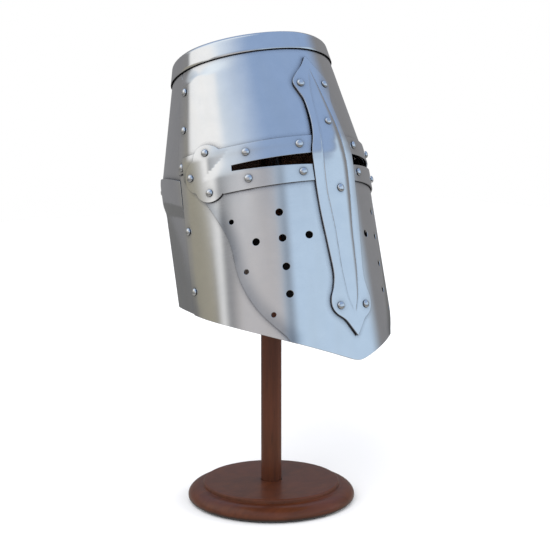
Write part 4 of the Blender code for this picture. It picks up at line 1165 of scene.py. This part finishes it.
def make_anchor_rivet(name, side):
    """Rivet along X through the liner band and a strap end."""
    inner, outer = ANCHOR_X - 0.0026, ANCHOR_X + 0.008
    dome = [(ANCHOR_HEAD * math.sin(a), inner - 0.0016 * math.cos(a))
            for a in np.radians(np.linspace(0, 85, 8))]
    profile = [(0.0, dome[0][1]), *dome[1:], (ANCHOR_HEAD, inner), (ANCHOR_SHANK, inner),
               (ANCHOR_SHANK, outer - 0.0003), (ANCHOR_SHANK - 0.0003, outer), (0.0, outer)]
    matrix = STRAP_FRAME @ Matrix.Rotation(side * math.pi / 2, 4, "Y")
    add_piece(name, turned(profile[::-1], RIVET_SEGMENTS, matrix=matrix), "rivet_steel")


# --- stand ---


def crown_contact():
    """Height of the dome's centre on the post axis, with the pad just under the crown plate."""
    normal = HELM.to_3x3() @ Vector((0, 0, 1))
    inner_face = HELM @ Vector((0, 0, HELM_HEIGHT - SHEET - GAP))
    return (inner_face.dot(normal) - DOME_RADIUS) / normal.z


def make_stand():
    low = FELT_THICKNESS + GAP
    felt = [(0.0, FELT_THICKNESS), *arc((FELT_RADIUS - 0.0004, FELT_THICKNESS - 0.0004), 0.0004, 90, 0, 4),
            (FELT_RADIUS, 0.0), (0.0, 0.0)]
    add_piece("base_felt", turned(felt), "base_felt")
    hole, socket, recess = SCREW_RADIUS + SCREW_PLAY, POST_RADIUS + SOCKET_PLAY, low + SCREW_HEAD_DEPTH
    foot = arc((BASE_RADIUS - FOOT_ROUND, low + FOOT_ROUND), FOOT_ROUND, 0, -90, 12)
    ovolo = [(OVOLO_CENTRE[0] + OVOLO_REACH * math.cos(a), OVOLO_CENTRE[1] + OVOLO_RISE * math.sin(a))
             for a in np.radians(np.linspace(86, 2, 22))]
    ledge = [(BASE_TOP_RADIUS + 0.0002, OVOLO_CENTRE[1] + OVOLO_RISE + 0.0005),
             (BASE_TOP_RADIUS + 0.0010, OVOLO_CENTRE[1] + OVOLO_RISE)]
    top = arc((BASE_TOP_RADIUS - TOP_ROUND, BASE_TOP - TOP_ROUND), TOP_ROUND, 90, 0, 8)
    lip = [(socket, BASE_TOP - 0.0005), (socket + 0.0005, BASE_TOP)]
    flat = [(radius, BASE_TOP) for radius in (0.02, 0.035, 0.05, 0.062)]
    profile = [*lip, *flat, *top, *ledge, *ovolo, *foot, (SCREW_HEAD_RADIUS + 0.0005, low),
               (SCREW_HEAD_RADIUS + 0.0005, recess), (hole, recess), (hole, SOCKET_FLOOR),
               (socket, SOCKET_FLOOR)]
    add_piece("stand_base", turned(profile, closed=True), "stand_wood")
    screw = [(0.0, SCREW_TOP), (SCREW_RADIUS * 0.5, SCREW_TOP - 0.0015), (SCREW_RADIUS, SCREW_TOP - 0.004)]
    for turn in range(SCREW_TURNS):
        crest = SCREW_TOP - 0.0045 - SCREW_PITCH * turn
        screw += [(SCREW_RADIUS, crest), (SCREW_RADIUS * 0.78, crest - SCREW_PITCH / 2)]
    screw += [(SCREW_RADIUS, low + 0.0035), (SCREW_RADIUS, low + 0.0029), (SCREW_HEAD_RADIUS, low + 0.0029),
              (SCREW_HEAD_RADIUS, low + 0.0010), (SCREW_HEAD_RADIUS - 0.0006, low + 0.0004),
              (0.0, low + 0.0004)]
    add_piece("post_screw", turned(screw, 40), "rivet_steel")
    centre = crown_contact()
    wood_dome = DOME_RADIUS - PAD_THICKNESS - GAP
    neck = centre + math.sqrt(wood_dome**2 - HEAD_SIDE_RADIUS**2)
    post_top = neck - 0.004
    post = [(0.0, post_top), (POST_RADIUS - 0.0006, post_top), (POST_RADIUS, post_top - 0.0006)]
    levels = np.linspace(post_top - 0.01, SOCKET_FLOOR + 0.002, 24)
    post += [(POST_RADIUS, float(height)) for height in levels]
    post += [(POST_RADIUS, SOCKET_FLOOR + GAP), (hole, SOCKET_FLOOR + GAP), (hole, SCREW_TOP + 0.002),
             (0.0, SCREW_TOP + 0.002)]
    add_piece("stand_post", turned(post, 96), "stand_wood")
    start = math.degrees(math.acos(HEAD_SIDE_RADIUS / wood_dome))
    dome = arc((0.0, centre), wood_dome, 90, start, 16)
    waist = smooth_line(((HEAD_SIDE_RADIUS, neck - 0.010), (0.0255, neck - 0.0140), (0.0215, neck - 0.0185),
                         (0.017, neck - HEAD_DEPTH + 0.003), (0.015, neck - HEAD_DEPTH + 0.0008)), 5)
    head = [(0.0, dome[0][1]), *dome[1:], (HEAD_SIDE_RADIUS + 0.0002, neck - 0.0006),
            (HEAD_SIDE_RADIUS, neck - 0.0014), *waist, (0.0145, neck - HEAD_DEPTH),
            (socket, neck - HEAD_DEPTH), (socket, post_top + GAP), (0.0, post_top + GAP)]
    add_piece("post_head", turned(head), "stand_wood")
    edge = math.degrees(math.acos(PAD_RADIUS / DOME_RADIUS))
    over = arc((0.0, centre), DOME_RADIUS, 90, edge + 0.6, 14)
    rim_round = [(PAD_RADIUS + 0.0001, over[-1][1] - 0.0008)]
    under = arc((0.0, centre), DOME_RADIUS - PAD_THICKNESS, edge + 0.4, 90, 14)
    pad = [(0.0, over[0][1]), *over[1:], *rim_round, *under[:-1], (0.0, under[-1][1])]
    add_piece("head_pad", turned(pad), "harness_leather")


# --- materials ---


class Nodes:
    """Short-hand for building one node tree."""

    def __init__(self, tree):
        self.tree = tree
        tree.nodes.clear()

    def add(self, kind, inputs=(), **settings):
        node = self.tree.nodes.new("ShaderNode" + kind)
        for name, value in settings.items():
            setattr(node, name, value)
        for name, value in dict(inputs).items():
            if isinstance(value, bpy.types.NodeSocket):
                self.tree.links.new(value, node.inputs[name])
            else:
                node.inputs[name].default_value = value
        return node

    def math(self, operation, first, second=0.0, clamp=False):
        return self.add("Math", {0: first, 1: second}, operation=operation, use_clamp=clamp).outputs[0]

    def spread(self, value, low, high, start=0.0, stop=1.0, smooth=False):
        """Maps value from low..high to start..stop, clamped."""
        kind = "SMOOTHSTEP" if smooth else "LINEAR"
        return self.add("MapRange", {0: value, 1: low, 2: high, 3: start, 4: stop},
                        interpolation_type=kind).outputs[0]

    def blend(self, share, first, second, kind="MIX"):
        node = self.add("Mix", data_type="RGBA", blend_type=kind)
        for number, value in ((0, share), (6, first), (7, second)):
            if isinstance(value, bpy.types.NodeSocket):
                self.tree.links.new(value, node.inputs[number])
            else:
                node.inputs[number].default_value = value if number == 0 else (*value, 1.0)
        return node.outputs[2]

    def stretch(self, vector, scale):
        return self.add("Mapping", {"Vector": vector, "Scale": scale}).outputs[0]

    def noise(self, vector, scale=1.0, detail=2.0, rough=0.5):
        return self.add("TexNoise", {"Vector": vector, "Scale": scale, "Detail": detail,
                                     "Roughness": rough}).outputs[0]

    def place(self):
        return self.add("TexCoord").outputs["Object"]

    def mask(self, name):
        return self.add("Attribute", attribute_name=name).outputs["Fac"]

    def bump(self, height, distance, under=None):
        inputs = {"Height": height, "Distance": distance, "Strength": 1.0}
        if under:
            inputs["Normal"] = under
        return self.add("Bump", inputs).outputs[0]

    def deep_shade(self, colour):
        """The colour, darkened by painted shade where ambient occlusion finds a shut-in place far from any
        light, as inside the helm.
        """
        open_sky = self.add("AmbientOcclusion", {"Distance": 0.12}, samples=8).outputs["AO"]
        return self.blend(self.spread(open_sky, 0.2, 0.6, 0.9, 0.0), colour, (0.003, 0.002, 0.002))

    def principled(self, inputs):
        shader = self.add("BsdfPrincipled", inputs)
        self.add("OutputMaterial", {"Surface": shader.outputs[0]})


def new_look(name):
    made = bpy.data.materials.new(name + "_fine")
    made.use_nodes = True
    return made, Nodes(made.node_tree)


def steel_look():
    """Sheet steel, brushed along the girth and faintly rolled, with grime and painted shade at laps and
    rivets, a painted dark reflection and shade beside the face plate's lap edge, and a dark inside.
    """
    made, n = new_look("satin_steel")
    flat = n.add("UVMap", uv_map="sheet").outputs[0]
    brush = n.noise(n.stretch(flat, (28, 1500, 1)), detail=3)
    swirl = n.noise(n.stretch(flat, (60, 60, 1)), detail=4, rough=0.6)
    roll = n.noise(n.stretch(flat, (55, 7, 1)), detail=1.5)
    hollow = n.noise(n.stretch(flat, (24, 20, 1)), detail=1)
    # Ambient occlusion within 6 mm, broken up by noise: painted shade at the laps and round the rivets, mixed
    # with grime; it darkens the colour and roughens the surface.
    near = n.add("AmbientOcclusion", {"Distance": 0.006}, samples=6).outputs["AO"]
    shade_and_grime = n.math("MULTIPLY", n.spread(near, 0.97, 0.66), n.spread(swirl, 0.25, 0.7, 0.55, 1.0))
    inside_face = n.mask("inner")
    clean = n.blend(n.spread(swirl, 0.3, 0.75), (0.80, 0.81, 0.82), (0.86, 0.86, 0.86))
    clean = n.blend(n.spread(roll, 0.45, 0.8, 0.0, 0.35), clean, (0.78, 0.76, 0.72))
    # Painted dark reflection and shade: a blue-grey band beside the face plate's lap edge.
    painted_edge_shade = n.math("MULTIPLY", n.mask("edge_shade"), n.spread(swirl, 0.2, 0.7, 0.45, 0.75))
    clean = n.blend(painted_edge_shade, clean, (0.30, 0.34, 0.39))
    # Darkens the steel with that painted shade and grime.
    shaded_and_dirty = n.blend(shade_and_grime, clean, (0.20, 0.20, 0.22))
    colour = n.blend(inside_face, shaded_and_dirty, (0.022, 0.022, 0.024))
    rough = n.math("ADD", n.spread(brush, 0.2, 0.8, 0.10, 0.17), n.math("MULTIPLY", shade_and_grime, 0.18))
    rough = n.math("MAXIMUM", rough, n.math("MULTIPLY", inside_face, 0.55))
    normal = n.bump(brush, 2.2e-6, n.bump(roll, 3.5e-5, n.bump(hollow, 1.2e-4)))
    tangent = n.add("Tangent", direction_type="UV_MAP", uv_map="sheet").outputs[0]
    n.principled({"Base Color": colour, "Metallic": n.spread(inside_face, 0, 1, 1.0, 0.6),
                  "Roughness": rough, "Anisotropic": 0.6, "Anisotropic Rotation": 0.25,
                  "Tangent": tangent, "Normal": normal})
    return made


def rivet_look():
    """Polished steel with light hammer marks, and painted shade with grime where the head meets the plate."""
    made, n = new_look("rivet_steel")
    place = n.place()
    dent = n.noise(place, 420, 1)
    mark = n.noise(place, 1400, 3)
    # Ambient occlusion within 3 mm: painted shade, with some grime, where the rivet meets the plate.
    near = n.add("AmbientOcclusion", {"Distance": 0.003}, samples=6).outputs["AO"]
    shade_and_grime = n.spread(near, 0.9, 0.4)
    colour = n.blend(n.spread(mark, 0.35, 0.7), (0.86, 0.86, 0.86), (0.76, 0.77, 0.79))
    n.principled({"Base Color": n.blend(shade_and_grime, colour, (0.22, 0.22, 0.24)), "Metallic": 1.0,
                  "Roughness": n.spread(mark, 0.2, 0.8, 0.16, 0.30),
                  "Normal": n.bump(dent, 6e-5, n.bump(mark, 4e-6))})
    return made


def leather_look():
    """Oiled harness leather: pebbled grain, creases, pale rubbed ridges."""
    made, n = new_look("harness_leather")
    place = n.place()
    grain = n.add("TexVoronoi", {"Vector": place, "Scale": 900.0}, feature="DISTANCE_TO_EDGE").outputs[0]
    cells = n.spread(grain, 0.02, 0.22)
    crease = n.noise(n.stretch(place, (180, 60, 220)), detail=3)
    tone = n.noise(place, 38, 4, 0.6)
    colour = n.blend(n.spread(tone, 0.3, 0.7), (0.050, 0.020, 0.010), (0.125, 0.052, 0.023))
    colour = n.blend(n.spread(crease, 0.55, 0.75, 0.0, 0.45), colour, (0.21, 0.10, 0.048))
    colour = n.blend(n.spread(cells, 0.0, 1.0, 0.45, 0.0), colour, (0.025, 0.010, 0.006))
    height = n.math("ADD", cells, n.math("MULTIPLY", crease, 2.0))
    # The base colour carries painted shade where the leather is shut in inside the helm.
    n.principled({"Base Color": n.deep_shade(colour), "Roughness": n.spread(tone, 0.3, 0.7, 0.42, 0.62),
                  "Sheen Weight": 0.06, "Normal": n.bump(height, 7e-5)})
    return made


def cord_look():
    """Waxed linen thread and lace."""
    made, n = new_look("lace_cord")
    place = n.place()
    fibre = n.noise(n.stretch(place, (2600, 2600, 900)), detail=3)
    tone = n.noise(place, 90, 3)
    colour = n.blend(n.spread(tone, 0.3, 0.7), (0.34, 0.23, 0.12), (0.50, 0.38, 0.22))
    n.principled({"Base Color": n.blend(n.spread(fibre, 0.3, 0.55, 0.5, 0.0), colour, (0.13, 0.08, 0.04)),
                  "Roughness": 0.72, "Sheen Weight": 0.25, "Normal": n.bump(fibre, 5e-5)})
    return made


def wood_look():
    """Red-brown stained hardwood under a clear satin lacquer; its grain runs up the post."""
    made, n = new_look("stand_wood")
    place = n.place()
    parts = n.add("SeparateXYZ", {0: place}).outputs
    upright = n.spread(parts[2], 0.0205, 0.0215)
    level = n.stretch(place, (7, 90, 60))
    along = n.stretch(place, (110, 110, 7))
    vector = n.add("Mix", data_type="VECTOR")
    for number, socket in ((0, upright), (4, level), (5, along)):
        n.tree.links.new(socket, vector.inputs[number])
    grain = n.noise(vector.outputs[1], 1.0, 5, 0.62)
    pores = n.noise(n.stretch(vector.outputs[1], (5, 5, 5)), 1.0, 3, 0.6)
    cloud = n.noise(place, 22, 3)
    colour = n.blend(n.spread(grain, 0.3, 0.7), (0.062, 0.018, 0.007), (0.110, 0.032, 0.011))
    colour = n.blend(n.spread(pores, 0.56, 0.70, 0.0, 0.38), colour, (0.026, 0.010, 0.006))
    colour = n.blend(n.spread(cloud, 0.3, 0.7, 0.0, 0.35), colour, (0.115, 0.028, 0.014))
    # The base colour carries painted shade where the wood is shut in inside the helm.
    n.principled({"Base Color": n.deep_shade(colour), "Roughness": 0.42, "Coat Weight": 0.35,
                  "Coat Roughness": n.spread(cloud, 0.3, 0.7, 0.16, 0.26), "Specular IOR Level": 0.22,
                  "Normal": n.bump(n.math("ADD", grain, pores), 4e-5)})
    return made


def felt_look():
    """Pressed felt with loose fibres."""
    made, n = new_look("base_felt")
    place = n.place()
    fuzz = n.noise(place, 1600, 4, 0.7)
    tuft = n.noise(place, 260, 3)
    colour = n.blend(n.spread(fuzz, 0.3, 0.7), (0.018, 0.018, 0.02), (0.075, 0.075, 0.08))
    colour = n.blend(n.spread(tuft, 0.4, 0.8, 0.0, 0.4), colour, (0.10, 0.10, 0.105))
    n.principled({"Base Color": colour, "Roughness": 0.95, "Sheen Weight": 0.5,
                  "Normal": n.bump(n.math("ADD", fuzz, tuft), 2e-4)})
    return made


# --- studio ---

# What the steel mirrors: a grey room under a blue ceiling, with soft cards standing round the helm.
# Directions are in degrees (0 is -Y, 90 is +X). Each card has its direction, half width and soft edge,
# then the elevations of its lower and upper edges, then its colour; a later card stands in front.
ROOM_GREY = (0.25, 0.25, 0.26)
CEILING_BLUE = (0.30, 0.42, 0.65)
CEILING_START = 22
CEILING_FULL = 40
CARD_EDGE_RISE = 4
CARDS = {
    "cool_window": (15, 60, 12, -90, 30, (0.55, 0.70, 0.88)),
    "rose_wall": (-62, 22, 9, -90, 26, (0.55, 0.53, 0.54)),
    "ceiling_glow": (-120, 35, 35, 20, 90, (0.92, 1.00, 1.07)),
    "tan_bench": (-128, 24, 12, -90, 12, (0.35, 0.33, 0.27)),
    "white_screen": (-120, 24, 4, 12, 36, (1.0, 1.0, 1.0)),
    "bright_gap": (-98, 5, 6, -90, 12, (0.80, 0.80, 0.80)),
    "dark_post": (-36, 4, 5, -90, 28, (0.28, 0.33, 0.40)),
}
FLOOR_HALF = 3.0
FLOOR_HEIGHT = -0.0002

# Lamps as (place, size, power), all aimed at one point, and the camera as it was fitted to the photo.
LAMPS = {"key_lamp": ((-1.6, -1.3, 1.9), 1.4, 28), "fill_lamp": ((1.7, -0.9, 1.2), 1.2, 10)}
LAMP_AIM = (0, 0, 0.25)
LENS = 82.77
SENSOR_WIDTH = 36.0
CAMERA_PLACE = (-0.7872, -1.0714, 0.4318)
CAMERA_TILT = 81.974
CAMERA_TURN = -36.479


def stand_card(n, around, rise, behind, card):
    """One soft card in front of what is behind it."""
    centre, half, soft, low, high, colour = card
    off = n.add("Math", {0: n.math("SUBTRACT", around, centre), 1: 180.0, 2: -180.0}, operation="WRAP")
    across = n.spread(n.math("ABSOLUTE", off.outputs[0]), half + soft, half - soft, smooth=True)
    above = n.spread(rise, low - CARD_EDGE_RISE, low + CARD_EDGE_RISE, smooth=True)
    below = n.spread(rise, high + CARD_EDGE_RISE, high - CARD_EDGE_RISE, smooth=True)
    return n.blend(n.math("MULTIPLY", across, n.math("MULTIPLY", above, below)), behind, colour)


def make_world():
    world = bpy.data.worlds.new("studio")
    world.use_nodes = True
    world.cycles.sampling_method = "NONE"
    bpy.context.scene.world = world
    n = Nodes(world.node_tree)
    ray = n.add("SeparateXYZ", {0: n.add("TexCoord").outputs["Generated"]}).outputs
    turn = n.math("ARCTAN2", ray[0], n.math("MULTIPLY", ray[1], -1.0))
    around = n.math("MULTIPLY", turn, 180 / math.pi)
    rise = n.math("MULTIPLY", n.math("ARCSINE", ray[2]), 180 / math.pi)
    room = n.blend(n.spread(rise, CEILING_START, CEILING_FULL, smooth=True), ROOM_GREY, CEILING_BLUE)
    for card in CARDS.values():
        room = stand_card(n, around, rise, room, card)
    path = n.add("LightPath").outputs
    seen = n.blend(path["Is Glossy Ray"], (0.95, 0.96, 1.0), room)
    seen = n.blend(path["Is Camera Ray"], seen, (1.0, 1.0, 1.0))
    shade = n.add("Background", {"Color": seen, "Strength": 1.0})
    n.add("OutputWorld", {"Surface": shade.outputs[0]})


def make_floor():
    """A pale seamless floor with a painted glow for camera rays that grows away from the stand; the steel
    sees it as a painted dull grey glow that brightens round the stand.
    """
    work = bmesh.new()
    bmesh.ops.create_grid(work, x_segments=24, y_segments=24, size=FLOOR_HALF)
    floor = link("studio_floor", mesh_of(work, "studio_floor"))
    floor.location.z = FLOOR_HEIGHT
    made = bpy.data.materials.new("studio_floor")
    made.use_nodes = True
    n = Nodes(made.node_tree)
    place = n.place()
    away = n.add("VectorMath", {0: place}, operation="LENGTH").outputs["Value"]
    # Painted reflection: the grey glow that glossy rays see in place of the floor, brighter near the stand.
    dull = n.blend(n.spread(away, 0.15, 0.9), (0.42, 0.41, 0.39), (0.18, 0.18, 0.18))
    mirrored_floor = n.add("Emission", {"Color": dull, "Strength": 1.0}).outputs[0]
    paper = n.add("BsdfDiffuse", {"Color": n.blend(n.noise(place, 3), (0.93, 0.93, 0.93), (0.96, 0.96, 0.96)),
                                  "Roughness": 0.4}).outputs[0]
    path = n.add("LightPath").outputs
    # Painted glow for camera rays, growing away from the stand so that the far floor washes out to white.
    lift = n.math("MULTIPLY", path["Is Camera Ray"], n.spread(away, 0.10, 0.9, 0.02, 0.16))
    glow = n.add("Emission", {"Color": (1.0, 1.0, 1.0, 1.0), "Strength": lift}).outputs[0]
    lit_paper = n.add("AddShader", {0: paper, 1: glow}).outputs[0]
    mixed = n.add("MixShader", {0: path["Is Glossy Ray"], 1: lit_paper, 2: mirrored_floor}).outputs[0]
    n.add("OutputMaterial", {"Surface": mixed})
    floor.data.materials.append(made)


def add_lamp(name, place, size, power):
    """A square soft box that lights wood and leather; the steel mirrors the room instead."""
    data = bpy.data.lights.new(name, "AREA")
    data.shape = "RECTANGLE"
    data.size = data.size_y = size
    data.energy = power
    lamp = link(name, data)
    lamp.location = place
    lamp.rotation_euler = (Vector(LAMP_AIM) - Vector(place)).to_track_quat("-Z", "Y").to_euler()
    lamp.visible_glossy = False
    lamp.visible_camera = False


def make_camera():
    data = bpy.data.cameras.new("photo_camera")
    data.lens = LENS
    data.sensor_width = SENSOR_WIDTH
    camera = link("photo_camera", data)
    camera.location = CAMERA_PLACE
    camera.rotation_euler = (math.radians(CAMERA_TILT), 0.0, math.radians(CAMERA_TURN))
    bpy.context.scene.camera = camera


# --- assembly ---

BODY = {node: body for body, nodes in frame["record"]["behaviour"]["bodies"].items() for node in nodes}
LOOKS = {"satin_steel": steel_look(), "rivet_steel": rivet_look(), "harness_leather": leather_look(),
         "lace_cord": cord_look(), "stand_wood": wood_look(), "base_felt": felt_look()}
SHEETS = {
    "upper_front_plate": sheet(upper_front_outline(), front_lap),
    "upper_rear_plate": sheet(upper_rear_outline(), no_lap, from_rear=True),
    "lower_rear_plate": sheet(lower_rear_outline(), rear_lap, from_rear=True, up=0.003),
    "side_plate_left": sheet(side_outline(), seam_lap),
    "side_plate_right": sheet(other_side(side_outline()), seam_lap),
    "face_plate": sheet(face_outline(), face_lap, holes=breaths()),
    "ocularium_band_left": sheet(band_outline(), band_lap, up=0.003),
    "ocularium_band_right": sheet(other_side(band_outline()), band_lap, up=0.003),
    "nasal_bar": sheet(bar_outline(), bar_lap, thickness=BAR_THICKNESS, ridge=bar_ridge,
                       across=BAR_PITCH, up=0.003),
    "liner_band": sheet(liner_outline(), no_lap, holes=anchor_holes(), thickness=LEATHER,
                        base=LINER_OUTER - LEATHER),
}

rivets = rivet_places()
for sheet_name in SHEETS:
    if sheet_name != "liner_band":
        make_sheet(sheet_name, "satin_steel", rivets)
make_crown()
for number, (rivet_name, rivet_place) in enumerate(rivets.items()):
    make_rivet(rivet_name, rivet_place, number)
make_liner(rivets)
make_long_strap()
make_buckle_strap()
make_keeper()
make_buckle()
make_anchor_rivet("strap_rivet_left", 1)
make_anchor_rivet("strap_rivet_right", -1)
make_stand()

make_world()
make_floor()
for lamp_name, lamp_values in LAMPS.items():
    add_lamp(lamp_name, *lamp_values)
make_camera()
bpy.context.scene.view_settings.view_transform = "Standard"
